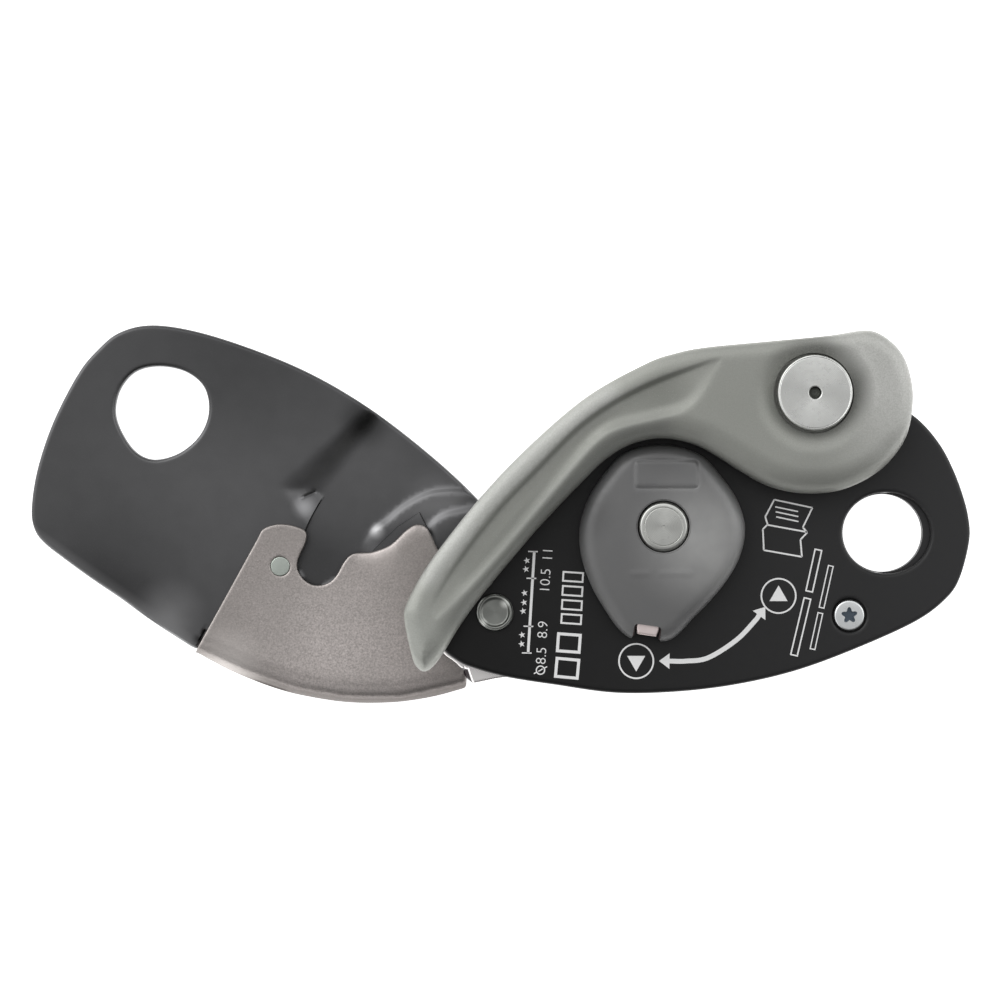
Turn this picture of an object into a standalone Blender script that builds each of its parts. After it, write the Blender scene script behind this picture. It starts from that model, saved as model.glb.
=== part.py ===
"""Assisted-braking rope device, laid on its moving side plate with that plate swung open.

Frame: the origin is the centre of the cam axle's lower end face. +Z runs along the cam axle towards the
outer face of the fixed side plate, +X runs towards the fixed plate's carabiner hole, +Y towards the handle pin.
All working dimensions below are millimetres; the scene is in metres.
"""

import math

import bmesh
import bpy
from mathutils import Vector
from mathutils.geometry import delaunay_2d_cdt

MM = 0.001

# ---------------------------------------------------------------- driving dimensions
GAP = 0.3  # clearance kept between neighbouring solids

Z_LOW = -2.8  # lowest face: underside of the channel stamped in the moving plate
MOVING_THICK = 2.5  # moving side plate sheet
CHANNEL_DEPTH = 2.0  # how far the axle-head channel is pressed down
Z_PLATE_TOP = 1.7  # upper (rope side) face of the moving plate's high zones
Z_WEAR = (2.0, 3.2)  # steel wear plate on the moving plate
Z_CAM = (3.5, 15.5)
Z_FIXED = (15.9, 19.9)  # fixed side plate
Z_KNOB = (20.2, 26.4)
Z_HANDLE = (21.1, 31.2)

PIVOT = (-35.05, -18.0)  # swing axis of the moving side plate
PIVOT_SHANK_R = 2.5
PIVOT_HEAD_R = 3.93
SWING_OPEN_DEG = 138.5  # angle between the closed plate and the pose modelled here
AXLE_RADIUS = math.hypot(*PIVOT)  # pivot to cam axle
NOTCH_R = 4.67  # notch in the wear plate that hooks the axle neck
AXLE_NECK_R = 3.9
AXLE_END_R = 4.75
AXLE_SHAFT_R = 4.2
AXLE_HEAD_R = 5.2
KNOB_BORE_R = 5.7

HANDLE_PIN = (30.8, 27.6)
HANDLE_SHANK_R = 4.0
HANDLE_HEAD_R = 7.75

CARABINER_FIXED = (47.2, -1.4)
CARABINER_FIXED_R = (9.3, 8.5)
STOP = (39.4, -18.7)
SHOE_RIVET = (-38.2, -10.4)
RIVET_OUTER = (-81.45, -8.8)
RIVET_INNER = (-48.6, -24.0)

CAM_TAIL_DEG = 75.0
CAM_TAIL_R = 24.0
DOG_LENGTH = 17.2
DOG_DEG = -100.0

BUTTON = (-3.3, -21.75)

# ---------------------------------------------------------------- outlines (control points, smoothed below)
# A third entry "c" marks a corner that stays sharp.
FIXED_OUTLINE = [
    (-46.6, -23.9, "c"), (-40.3, -29.5), (-34, -31.6), (-22.5, -33.3), (-9.9, -35), (2.8, -34.8),
    (15.4, -33.3), (28, -30.4), (40.6, -25.8), (53.2, -20.1), (59.5, -15.5), (62.6, -11.1), (64.7, -3.1),
    (64.5, 2), (63.2, 7), (61.3, 12), (58.6, 17.1), (54.4, 22.1), (47.5, 27.5), (41.5, 34.0), (34.5, 37.2),
    (26.5, 36.6), (16.0, 35.0), (4.0, 32.6), (-7.0, 28.2), (-17.0, 21.4), (-27.0, 12.0), (-36.0, 1.0), (-43.5, -11.0),
]
MOVING_OUTLINE = [
    (-101.1, -26.3, "c"), (-109.7, -20.7), (-116.2, -15.9), (-122.7, -11.4), (-129.2, -6.6), (-132.5, -4),
    (-134.7, -1.2), (-135.5, 3.4), (-134.2, 12.2), (-130.7, 22.6), (-125.3, 33.0), (-121, 38.2), (-116.5, 41.8),
    (-109.7, 43.4), (-100, 42.1), (-87, 38), (-74, 32.4), (-61.1, 24.6), (-48.1, 14.4), (-38.5, 5.3),
    (-32.0, -3.0), (-27.3, -11.5), (-26.2, -18.5), (-28.6, -24.6), (-35, -28.0), (-40.4, -29.6), (-43.6, -31.4, "c"),
    (-52.0, -33.5), (-61, -34.4), (-71, -33.6), (-80.4, -31.2), (-87.5, -28.5), (-92.6, -26.0, "c"), (-96.6, -22.6, "c"),
    (-99.4, -23.6),
]
WEAR_OUTLINE = [
    (-99.9, -27.4, "c"), (-98.9, -25.6), (-86.9, -3.8), (-85.4, -1), (-82.6, 0.2), (-79.8, 0.2), (-77.2, -0.5),
    (-75.9, -1.4), (-75.9, -3.5), (-77.15, -6.2), (-77.85, -8.6), (-77.0, -11.0), (-75.2, -12.5), (-73.2, -12.95),
    (-70.9, -12.35), (-69.3, -10.8), (-68.2, -8.8), (-66.9, -6.9), (-65.1, -5.9), (-61.6, -5.7), (-57.7, -4.2),
    (-54.5, -1.2), (-52.4, 0.2), (-50.8, 0.1), (-49.4, -1.1), (-47, -5.9), (-43.8, -9.2), (-36.5, -9.6), (-29.4, -12.0),
    (-26.6, -18.0), (-29.4, -24.0), (-35.5, -26.6), (-40.4, -29.0), (-41.4, -35.2, "c"), (-48, -37), (-54.5, -38.1),
    (-61, -38.5), (-67.5, -38.3), (-73.9, -37.4), (-80.4, -36.0), (-86.9, -33.8), (-93.4, -31),
]
WEAR_CREASE = [(-98.8, -24.9), (-88, -29.7), (-77.2, -33.4), (-66.4, -35.2), (-55.6, -35.2), (-42.6, -32.3)]
MOVING_HOLE = [
    (-117.3, 24.6), (-116.2, 29.6), (-112.8, 33.4), (-107.5, 34.5), (-101.8, 33.2), (-98.0, 29.8), (-97.1, 24.6),
    (-99.0, 19.6), (-103.3, 15.8), (-108.6, 14.3), (-112.7, 15.8), (-115.8, 19.9),
]
HANDLE_OUTLINE = [
    (-52.4, -26.9), (-54.0, -19.0), (-53.4, -15.9), (-50.9, -11.0), (-46.9, -5.0), (-38.4, 5.7), (-28.8, 15.9),
    (-16.3, 26.7), (-3.9, 33.7), (2.4, 35.9), (8.6, 37.1), (21.1, 38.3), (33.6, 39.5), (39.8, 40.5), (42.9, 40.6),
    (46, 39.2), (49.2, 36.1), (51, 31.9), (51.7, 26.3), (50.4, 18.8), (47.1, 13.6), (42.1, 9.8), (35.6, 7.3),
    (28.2, 7), (21.6, 8.6), (15.6, 11.9), (10.9, 14.9), (6.3, 17.2), (0.0, 18.4), (-6.3, 17.3), (-11.6, 14.3),
    (-16.6, 9.6), (-24.9, 0.9), (-30.2, -5.2), (-37.7, -14.3), (-42.2, -20.5), (-46.6, -27.6), (-49.4, -30.3), (-51.3, -29.5),
]
KNOB_RADII = [  # (angle, radius) about the cam axle
    (0, 17.2), (20, 16.5), (40, 16.1), (60, 16.9), (80, 17.0), (100, 17.2), (120, 17.3), (140, 16.4), (160, 16.6),
    (180, 17.3), (200, 18.1), (220, 19.4), (232, 20.7), (243, 22.6), (250, 23.9), (256, 24.4), (265, 24.1), (273, 23.9),
    (279, 22.6), (288, 20.3), (300, 18.7), (320, 17.5), (340, 17.3),
]
CAM_RADII = [
    (0, 11.0), (30, 11.0), (60, 12.0), (90, 13.2), (120, 14.6), (150, 15.4), (180, 15.9), (210, 16.6), (235, 17.4),
    (250, 17.6), (268, 15.6), (290, 12.6), (320, 11.2),
]


# ---------------------------------------------------------------- geometry helpers
def catmull(p0, p1, p2, p3, t):
    """Point on the smooth curve from p1 to p2."""
    a = -0.5 * t + t * t - 0.5 * t**3
    b = 1 - 2.5 * t * t + 1.5 * t**3
    c = 0.5 * t + 2 * t * t - 1.5 * t**3
    d = -0.5 * t * t + 0.5 * t**3
    return (a * p0[0] + b * p1[0] + c * p2[0] + d * p3[0], a * p0[1] + b * p1[1] + c * p2[1] + d * p3[1])


def smooth_ring(points, step):
    """Closed ring through the control points, about step apart, keeping the marked corners sharp."""
    n = len(points)
    corner = [len(p) > 2 for p in points]
    pts = [(p[0], p[1]) for p in points]
    ring = []
    for i in range(n):
        p1, p2 = pts[i], pts[(i + 1) % n]
        p0 = pts[i - 1] if not corner[i] else (2 * p1[0] - p2[0], 2 * p1[1] - p2[1])
        p3 = pts[(i + 2) % n] if not corner[(i + 1) % n] else (2 * p2[0] - p1[0], 2 * p2[1] - p1[1])
        count = max(1, round(math.dist(p1, p2) / step))
        ring += [catmull(p0, p1, p2, p3, k / count) for k in range(count)]
    return ring if signed_area(ring) > 0 else ring[::-1]


def polar_ring(radii, step):
    return smooth_ring([(r * math.cos(math.radians(a)), r * math.sin(math.radians(a))) for a, r in radii], step)


def circle(centre, radius, count=32, ry=None):
    ry = radius if ry is None else ry
    return [
        (centre[0] + radius * math.cos(2 * math.pi * k / count), centre[1] + ry * math.sin(2 * math.pi * k / count))
        for k in range(count)
    ]


def arc(centre, radius, start, end, count):
    return [
        (
            centre[0] + radius * math.cos(math.radians(start + (end - start) * k / count)),
            centre[1] + radius * math.sin(math.radians(start + (end - start) * k / count)),
        )
        for k in range(count + 1)
    ]


def signed_area(ring):
    return 0.5 * sum(a[0] * b[1] - b[0] * a[1] for a, b in zip(ring, ring[1:] + ring[:1]))


def inset(ring, amount):
    """The ring moved inwards along its point normals (ring runs anticlockwise)."""
    moved = []
    for i, (x, y) in enumerate(ring):
        ax, ay = ring[i - 1]
        bx, by = ring[(i + 1) % len(ring)]
        length = math.hypot(bx - ax, by - ay) or 1
        moved.append((x - (by - ay) / length * amount, y + (bx - ax) / length * amount))
    return moved


def inside(ring, x, y):
    result = False
    for (ax, ay), (bx, by) in zip(ring, ring[1:] + ring[:1]):
        if (ay > y) != (by > y) and x < (bx - ax) * (y - ay) / (by - ay) + ax:
            result = not result
    return result


def distance_to(ring, x, y, is_closed=True):
    best = 1e9
    ends = ring[1:] + ring[:1] if is_closed else ring[1:]
    for (ax, ay), (bx, by) in zip(ring, ends):
        dx, dy = bx - ax, by - ay
        length2 = dx * dx + dy * dy
        t = 0 if length2 == 0 else max(0, min(1, ((x - ax) * dx + (y - ay) * dy) / length2))
        best = min(best, math.hypot(x - ax - t * dx, y - ay - t * dy))
    return best


def step_up(value, low, high):
    t = max(0, min(1, (value - low) / (high - low)))
    return t * t * (3 - 2 * t)


# ---------------------------------------------------------------- scene helpers
for old in list(bpy.data.objects):
    bpy.data.objects.remove(old, do_unlink=True)

PARTS = bpy.data.collections.new("assisted_braking_device")
CUTTERS = bpy.data.collections.new("cutters")
bpy.context.scene.collection.children.link(PARTS)
bpy.context.scene.collection.children.link(CUTTERS)
CUTTERS.hide_render = True


def linear(value):
    return value / 12.92 if value <= 0.04045 else ((value + 0.055) / 1.055) ** 2.4


def material(name, rgb, roughness, metallic):
    found = bpy.data.materials.new(name)
    found.use_nodes = True
    shader = found.node_tree.nodes["Principled BSDF"]
    shader.inputs["Base Color"].default_value = (*[linear(c / 255) for c in rgb], 1)
    shader.inputs["Roughness"].default_value = roughness
    shader.inputs["Metallic"].default_value = metallic
    return found


BLACK = material("black_anodised", (38, 38, 40), 0.45, 0.6)
DARK = material("dark_grey_anodised", (84, 84, 86), 0.4, 0.8)
STEEL = material("brushed_stainless", (168, 160, 156), 0.35, 1.0)
POLISHED = material("polished_stainless", (200, 196, 196), 0.2, 1.0)
HANDLE_GREY = material("handle_grey", (150, 156, 148), 0.5, 0.3)
KNOB_GREY = material("knob_grey", (108, 110, 112), 0.5, 0.1)
ZINC = material("zinc_plated", (210, 214, 220), 0.3, 1.0)
ALU = material("bare_aluminium", (176, 182, 176), 0.4, 1.0)
SPRING = material("spring_steel", (120, 120, 122), 0.3, 1.0)
BRONZE = material("bearing_bronze", (168, 124, 72), 0.4, 1.0)


def place(name, mesh, look, where=None):
    obj = bpy.data.objects.new(name, mesh)
    (where or PARTS).objects.link(obj)
    if look:
        mesh.materials.clear()
        mesh.materials.append(look)
    return obj


def finish_mesh(mesh, angle=35):
    mesh.shade_smooth()
    mesh.set_sharp_from_angle(angle=math.radians(angle))


def flat_curve(name, rings, z0, z1):
    """A flat outline (first ring) with holes (other rings), extruded from z0 to z1, as a welded mesh."""
    data = bpy.data.curves.new(name + "_outline", "CURVE")
    data.dimensions = "2D"
    data.fill_mode = "BOTH"
    data.extrude = (z1 - z0) / 2 * MM
    for ring in rings:
        spline = data.splines.new("POLY")
        spline.points.add(len(ring) - 1)
        for point, (x, y) in zip(spline.points, ring):
            point.co = (x * MM, y * MM, 0, 1)
        spline.use_cyclic_u = True
    guide = bpy.data.objects.new(name + "_guide", data)
    guide.location.z = (z0 + z1) / 2 * MM
    bpy.context.scene.collection.objects.link(guide)
    bpy.context.view_layer.update()
    graph = bpy.context.evaluated_depsgraph_get()
    mesh = bpy.data.meshes.new_from_object(guide.evaluated_get(graph))
    mesh.name = name
    mesh.transform(guide.matrix_world)
    work = bmesh.new()
    work.from_mesh(mesh)
    bmesh.ops.remove_doubles(work, verts=work.verts, dist=0.00001)
    bmesh.ops.recalc_face_normals(work, faces=work.faces)
    work.to_mesh(mesh)
    work.free()
    bpy.data.objects.remove(guide, do_unlink=True)
    return mesh


def prism(name, rings, z0, z1, look):
    mesh = flat_curve(name, rings, z0, z1)
    finish_mesh(mesh)
    return place(name, mesh, look)


def turned(name, profile, centre, look, steps=28, loop=False, where=None):
    """Profile of (radius, z) turned about the vertical axis through centre, from the top down its outer side."""
    mesh = bpy.data.meshes.new(name)
    verts = [(r * MM, 0, z * MM) for r, z in profile]
    edges = [(i, i + 1) for i in range(len(verts) - 1)]
    if loop:
        edges.append((len(verts) - 1, 0))
    mesh.from_pydata(verts, edges, [])
    obj = place(name, mesh, look, where)
    obj.location = (centre[0] * MM, centre[1] * MM, 0)
    screw = obj.modifiers.new("turn", "SCREW")
    screw.axis = "Z"
    screw.angle = 2 * math.pi
    screw.steps = steps
    screw.render_steps = steps
    screw.use_merge_vertices = True
    screw.merge_threshold = 0.000005
    screw.use_smooth_shade = True
    return obj


def cutter(obj):
    obj.hide_render = True
    obj.display_type = "WIRE"
    return obj


def cylinder_cutter(name, centre, radius, z0, z1, top_radius=None, count=36):
    mesh = bpy.data.meshes.new(name)
    work = bmesh.new()
    bmesh.ops.create_cone(
        work,
        cap_ends=True,
        segments=count,
        radius1=radius * MM,
        radius2=(radius if top_radius is None else top_radius) * MM,
        depth=(z1 - z0) * MM,
    )
    work.to_mesh(mesh)
    work.free()
    obj = place(name, mesh, None, CUTTERS)
    obj.location = (centre[0] * MM, centre[1] * MM, (z0 + z1) / 2 * MM)
    return cutter(obj)


def prism_cutter(name, rings, z0, z1):
    return cutter(place(name, flat_curve(name, rings, z0, z1), None, CUTTERS))


def boolean(obj, other, operation="DIFFERENCE"):
    change = obj.modifiers.new(operation.lower(), "BOOLEAN")
    change.operation = operation
    change.object = other
    change.solver = "EXACT"
    return obj


def sheet(name, outer, holes, top, bottom, spacing, look, guides=()):
    """A pressed or sculpted piece: the outline filled with an even net, its two faces at top(x, y) and bottom(x, y).

    The net follows the guide rings, so that a crease along one of them stays where it is drawn.
    """
    rings = [outer] + [h if signed_area(h) < 0 else h[::-1] for h in holes]
    points, edges = [], []
    for ring in rings:
        first = len(points)
        points += ring
        edges += [(first + k, first + (k + 1) % len(ring)) for k in range(len(ring))]
    for guide in guides:
        points += [
            (x, y)
            for x, y in guide
            if inside(outer, x, y)
            and not any(inside(h, x, y) for h in rings[1:])
            and min(distance_to(r, x, y) for r in rings) > 0.7
        ]
    xs, ys = [p[0] for p in outer], [p[1] for p in outer]
    row, y = 0, min(ys)
    while y < max(ys):
        x = min(xs) + (spacing / 2 if row % 2 else 0)
        while x < max(xs):
            if (
                inside(outer, x, y)
                and not any(inside(h, x, y) for h in rings[1:])
                and min(distance_to(r, x, y) for r in rings) > 0.55 * spacing
                and all(distance_to(g, x, y) > 0.4 * spacing for g in guides)
            ):
                points.append((x, y))
            x += spacing
        y += spacing * 0.866
        row += 1
    flat, _, faces, *_ = delaunay_2d_cdt([Vector(p) for p in points], edges, [], 1, 1e-6)
    kept = []
    for face in faces:
        cx = sum(flat[i].x for i in face) / 3
        cy = sum(flat[i].y for i in face) / 3
        if inside(outer, cx, cy) and not any(inside(h, cx, cy) for h in rings[1:]):
            kept.append(face)
    count = len(flat)
    verts = [(p.x * MM, p.y * MM, top(p.x, p.y) * MM) for p in flat]
    verts += [(p.x * MM, p.y * MM, bottom(p.x, p.y) * MM) for p in flat]
    solid = [tuple(f) for f in kept] + [tuple(count + i for i in reversed(f)) for f in kept]
    used = {}
    for face in kept:
        for a, b in zip(face, list(face[1:]) + [face[0]]):
            used[(a, b)] = used.get((a, b), 0) + 1
    for a, b in list(used):
        if (b, a) not in used:
            solid.append((b, a, count + a, count + b))
    mesh = bpy.data.meshes.new(name)
    mesh.from_pydata(verts, [], solid)
    work = bmesh.new()
    work.from_mesh(mesh)
    bmesh.ops.delete(work, geom=[v for v in work.verts if not v.link_faces], context="VERTS")
    bmesh.ops.recalc_face_normals(work, faces=work.faces)
    work.to_mesh(mesh)
    work.free()
    finish_mesh(mesh, 40)
    return place(name, mesh, look)


def loft(name, sections, look):
    """Rings of equal point count, each ([(x, y)], z), joined bottom to top and capped."""
    mesh = bpy.data.meshes.new(name)
    work = bmesh.new()
    rings = [[work.verts.new((x * MM, y * MM, z * MM)) for x, y in ring] for ring, z in sections]
    for low, high in zip(rings, rings[1:]):
        for k in range(len(low)):
            n = (k + 1) % len(low)
            work.faces.new((low[k], low[n], high[n], high[k]))
    work.faces.new(rings[0][::-1])
    work.faces.new(rings[-1])
    bmesh.ops.recalc_face_normals(work, faces=work.faces)
    work.to_mesh(mesh)
    work.free()
    finish_mesh(mesh)
    return place(name, mesh, look)


def wire(name, points, radius, look):
    """Round wire along the points."""
    data = bpy.data.curves.new(name, "CURVE")
    data.dimensions = "3D"
    data.bevel_depth = radius * MM
    data.bevel_resolution = 1
    data.use_fill_caps = True
    spline = data.splines.new("POLY")
    spline.points.add(len(points) - 1)
    for point, (x, y, z) in zip(spline.points, points):
        point.co = (x * MM, y * MM, z * MM, 1)
    obj = bpy.data.objects.new(name, data)
    PARTS.objects.link(obj)
    data.materials.append(look)
    return obj


def coil(centre, radius, z0, z1, turns, start, per_turn=14):
    count = int(turns * per_turn)
    return [
        (
            centre[0] + radius * math.cos(math.radians(start) + 2 * math.pi * turns * k / count),
            centre[1] + radius * math.sin(math.radians(start) + 2 * math.pi * turns * k / count),
            z0 + (z1 - z0) * k / count,
        )
        for k in range(count + 1)
    ]


def polar(centre, radius, degrees):
    return (centre[0] + radius * math.cos(math.radians(degrees)), centre[1] + radius * math.sin(math.radians(degrees)))


# ---------------------------------------------------------------- fixed side
# Fixed side plate: 4 mm aluminium, with bores for the pivot rivet, cam axle and handle bush, an oval carabiner
# hole and a countersink for the stop screw.
fixed = prism(
    "fixed_side_plate",
    [
        smooth_ring(FIXED_OUTLINE, 2.2),
        circle(CARABINER_FIXED, CARABINER_FIXED_R[0], 40, CARABINER_FIXED_R[1]),
        circle(PIVOT, PIVOT_SHANK_R + GAP, 24),
        circle((0, 0), AXLE_SHAFT_R + GAP, 32),
        circle(HANDLE_PIN, 5.6, 32),
        circle(SHOE_RIVET, 1.8 + GAP, 20),
        circle(STOP, 1.9, 24),
    ],
    *Z_FIXED,
    BLACK,
)
boolean(fixed, cylinder_cutter("stop_countersink", STOP, 1.9, 18.2, 20.1, top_radius=3.8))
boolean(fixed, cylinder_cutter("detent_seat_lead", polar((0, 0), 12.0, 150), 0.9, 19.4, 20.3, count=16))
boolean(fixed, cylinder_cutter("detent_seat_toprope", polar((0, 0), 12.0, 215), 0.9, 19.4, 20.3, count=16))

# Friction shoe: the steel block the cam pinches the rope against. Its working face is an arc about the cam axle.
shoe_ring = smooth_ring(
    [
        (-47.2, -23.6), (-46.2, -26.8), (-41.0, -30.2, "c"), (-40.6, -32.9, "c"), (-34.6, -32.6), (-29.0, -32.2), (-24.5, -31.4, "c"),
        *[(x, y) for x, y in arc((0, 0), 29.0, 230, 203, 5)],
        (-27.8, -8.6, "c"), (-33.0, -5.6), (-38.6, -5.4), (-42.6, -9.6), (-45.4, -16.0),
    ],
    2.0,
)
shoe = prism(
    "friction_shoe",
    [shoe_ring, circle(PIVOT, PIVOT_SHANK_R + GAP, 24), circle(SHOE_RIVET, 1.8 + GAP, 20)],
    Z_CAM[0] + 0.1,
    Z_FIXED[0] - GAP,
    POLISHED,
)
turned(
    "shoe_rivet",
    [(0, 21.0), (2.4, 20.9), (3.1, 20.2), (1.8, 20.2), (1.8, 3.7), (0, 3.7)],
    SHOE_RIVET,
    ALU,
    24,
)

# Pivot rivet and its wave washer: the moving side plate turns about it.
turned(
    "pivot_rivet",
    [
        (0, 21.5), (3.05, 21.5), (3.6, 21.2), (PIVOT_HEAD_R, 20.7), (PIVOT_HEAD_R, 20.2), (PIVOT_SHANK_R, 20.2),
        (PIVOT_SHANK_R, -2.05), (3.6, -2.05), (3.6, -2.75), (0, -2.75),
    ],
    PIVOT,
    ALU,
)
turned("pivot_wave_washer", [(5.2, -1.1), (5.2, -1.75), (2.8, -1.75), (2.8, -1.1)], PIVOT, SPRING, loop=True)

# Cam axle: head in the knob's counterbore, shaft through plate and cam, neck and collar that the wear plate's
# notch hooks behind when the device is closed.
turned(
    "cam_axle",
    [
        (0, 26.5), (4.05, 26.5), (4.5, 26.3), (AXLE_HEAD_R, 25.9), (AXLE_HEAD_R, 23.3), (AXLE_SHAFT_R, 23.3),
        (AXLE_SHAFT_R, 3.4), (AXLE_NECK_R, 3.4), (AXLE_NECK_R, 1.6), (AXLE_END_R, 1.6), (AXLE_END_R, 0.5), (4.2, 0), (0, 0),
    ],
    (0, 0),
    ZINC,
)
wire(
    "cam_return_spring",
    [(*polar((0, 0), 8.2, -20), 11.9)]
    + coil((0, 0), 7.1, 11.9, 14.6, 2.5, 0)
    + [(*polar((0, 0), 8.2, 200), 14.6)],
    0.5,
    SPRING,
)

# Stop post and its countersunk screw.
turned(
    "stop_post",
    [(4.2, 15.6), (4.2, 3.8), (3.0, 3.8), (3.0, 5.2), (2.0, 5.2), (2.0, 15.6)],
    STOP,
    STEEL,
    28,
    loop=True,
)
screw = turned(
    "stop_screw",
    [(0, 19.85), (3.2, 19.85), (3.2, 19.6), (1.6, 18.0), (1.6, 6.2), (1.2, 5.8), (0, 5.8)],
    STOP,
    ZINC,
    24,
)
boolean(screw, cylinder_cutter("screw_recess", STOP, 0.6, 18.8, 20.4, top_radius=1.5, count=10))

# Flanged bush of the handle pin, pressed in the fixed plate.
turned(
    "handle_bushing",
    [(5.3, 19.8), (5.3, 15.6), (7.2, 15.6), (7.2, 14.9), (4.3, 14.9), (4.3, 19.8)],
    HANDLE_PIN,
    BRONZE,
    32,
    loop=True,
)

# ---------------------------------------------------------------- moving side plate
NOTCH = polar(PIVOT, AXLE_RADIUS, math.degrees(math.atan2(-PIVOT[1], -PIVOT[0])) + SWING_OPEN_DEG)
moving_ring = smooth_ring(MOVING_OUTLINE, 2.4)
moving_hole = smooth_ring(MOVING_HOLE, 2.0)

# The stamped channel: the axle's collar runs in it, on a circle about the pivot, until the notch reaches the axle.
channel_ring = (
    [(-58.0, 28.0), (-77.6, 8.6)]
    + arc(PIVOT, 44.5, 146, 167, 8)
    + arc(NOTCH, 5.1, 165.7, 345.7, 10)
    + arc(PIVOT, 34.3, 160, 147, 5)
    + [(-59.6, 0.8), (-53.6, 5.2), (-47.6, 7.7), (-41.0, 7.4), (-30.0, 5.0), (-28.0, 20.0)]
)
if signed_area(channel_ring) < 0:
    channel_ring.reverse()


def channel_drop(x, y):
    """0 on the high zones, -CHANNEL_DEPTH in the channel, with short ramps."""
    away = distance_to(channel_ring, x, y)
    signed = away if inside(channel_ring, x, y) else -away
    return -CHANNEL_DEPTH * step_up(signed, -0.8, 0.0)


def resampled(ring, step):
    """The closed ring's straight sides divided into lengths of about step."""
    points = []
    for (ax, ay), (bx, by) in zip(ring, ring[1:] + ring[:1]):
        count = max(1, round(math.dist((ax, ay), (bx, by)) / step))
        points += [(ax + (bx - ax) * k / count, ay + (by - ay) * k / count) for k in range(count)]
    return points


channel_floor = resampled(channel_ring, 1.4)
channel_brow = inset(channel_floor, -0.8)

FLARE_A, FLARE_B = (-101.1, -26.3), (-130.0, -6.0)  # lower-left edge that bends away from the rope


def flare_drop(x, y):
    dx, dy = FLARE_B[0] - FLARE_A[0], FLARE_B[1] - FLARE_A[1]
    length = math.hypot(dx, dy)
    along = ((x - FLARE_A[0]) * dx + (y - FLARE_A[1]) * dy) / length
    away = abs((x - FLARE_A[0]) * dy - (y - FLARE_A[1]) * dx) / length
    reach = max(0.0, 1 - away / 9.0)
    fade = step_up(length - along, 0.0, length * 0.8)
    return -1.9 * reach * reach * fade


def moving_top(x, y):
    return Z_PLATE_TOP + min(channel_drop(x, y), flare_drop(x, y))


moving = sheet(
    "moving_side_plate",
    moving_ring,
    [
        moving_hole,
        circle(PIVOT, PIVOT_SHANK_R + GAP + 0.1, 20),
        circle(RIVET_OUTER, 1.7, 12),
        circle(RIVET_INNER, 1.7, 12),
    ],
    moving_top,
    lambda x, y: moving_top(x, y) - MOVING_THICK,
    3.4,
    DARK,
    [channel_floor, channel_brow],
)

crease = [(x, y) for x, y in WEAR_CREASE]


def lip_drop(x, y):
    """The lower border of the wear plate curls away from the rope beyond the crease."""
    away = distance_to(crease, x, y, False)
    index = min(range(len(crease)), key=lambda k: math.dist(crease[k], (x, y)))
    a = crease[max(0, index - 1)]
    b = crease[min(len(crease) - 1, index + 1)]
    beyond = (b[0] - a[0]) * (y - a[1]) - (b[1] - a[1]) * (x - a[0]) < 0
    return -2.9 * (away / 3.2) ** 2 if beyond and away < 4.5 else 0.0


def wear_top(x, y):
    return Z_WEAR[1] + max(-3.0, lip_drop(x, y))


wear = sheet(
    "moving_wear_plate",
    smooth_ring(WEAR_OUTLINE, 1.7),
    [circle(PIVOT, PIVOT_SHANK_R + GAP + 0.1, 20), circle(RIVET_OUTER, 2.3, 16), circle(RIVET_INNER, 2.3, 16)],
    wear_top,
    lambda x, y: wear_top(x, y) - (Z_WEAR[1] - Z_WEAR[0]),
    3.0,
    STEEL,
)
for label, spot in (("wear_plate_rivet_outer", RIVET_OUTER), ("wear_plate_rivet_inner", RIVET_INNER)):
    turned(
        label,
        [(0, 3.25), (2.0, 3.25), (2.0, 2.5), (1.4, 2.0), (1.4, -1.1), (2.0, -1.1), (1.8, -1.7), (0, -1.8)],
        spot,
        ALU,
        20,
    )

# ---------------------------------------------------------------- cam
cam_ring = polar_ring(CAM_RADII, 3.0)
cam_sections = [
    (inset(cam_ring, 0.8), Z_CAM[0]),
    (inset(cam_ring, 0.0), Z_CAM[0] + 0.8),
    (inset(cam_ring, 0.0), Z_CAM[0] + 2.4),
    (inset(cam_ring, 1.6), Z_CAM[0] + 4.4),
    (inset(cam_ring, 1.6), Z_CAM[1] - 4.4),
    (inset(cam_ring, 0.0), Z_CAM[1] - 2.4),
    (inset(cam_ring, 0.0), Z_CAM[1] - 0.8),
    (inset(cam_ring, 0.8), Z_CAM[1]),
]
cam = loft("cam", cam_sections, POLISHED)
tail_tip = polar((0, 0), CAM_TAIL_R, CAM_TAIL_DEG)
side = polar((0, 0), 1.0, CAM_TAIL_DEG + 90)
tail_ring = (
    [(side[0] * 5.0 + 3.0 * tail_tip[0] / 8, side[1] * 5.0 + 3.0 * tail_tip[1] / 8)]
    + [(-side[0] * 5.0 + 3.0 * tail_tip[0] / 8, -side[1] * 5.0 + 3.0 * tail_tip[1] / 8)]
    + arc(tail_tip, 2.8, CAM_TAIL_DEG - 90, CAM_TAIL_DEG + 90, 10)
)
tail = prism_cutter("cam_tail_blank", [tail_ring], 5.3, 13.7)
boolean(cam, tail, "UNION")
boolean(cam, cylinder_cutter("cam_bore", (0, 0), 5.8, 3.0, 16.0, count=40))
boolean(cam, cylinder_cutter("cam_spring_pocket", (0, 0), 9.2, 11.1, 16.0, count=40))
boolean(cam, cylinder_cutter("cam_pin_bore", tail_tip, 1.6, 4.0, 15.0, count=20))
turned("cam_bushing", [(5.5, 10.8), (5.5, 3.8), (4.4, 3.8), (4.4, 10.8)], (0, 0), BRONZE, 36, loop=True)
turned("cam_tail_pin", [(0, 15.2), (1.1, 15.2), (1.3, 15.0), (1.3, 4.0), (1.1, 3.8), (0, 3.8)], tail_tip, SPRING, 20)

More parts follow.
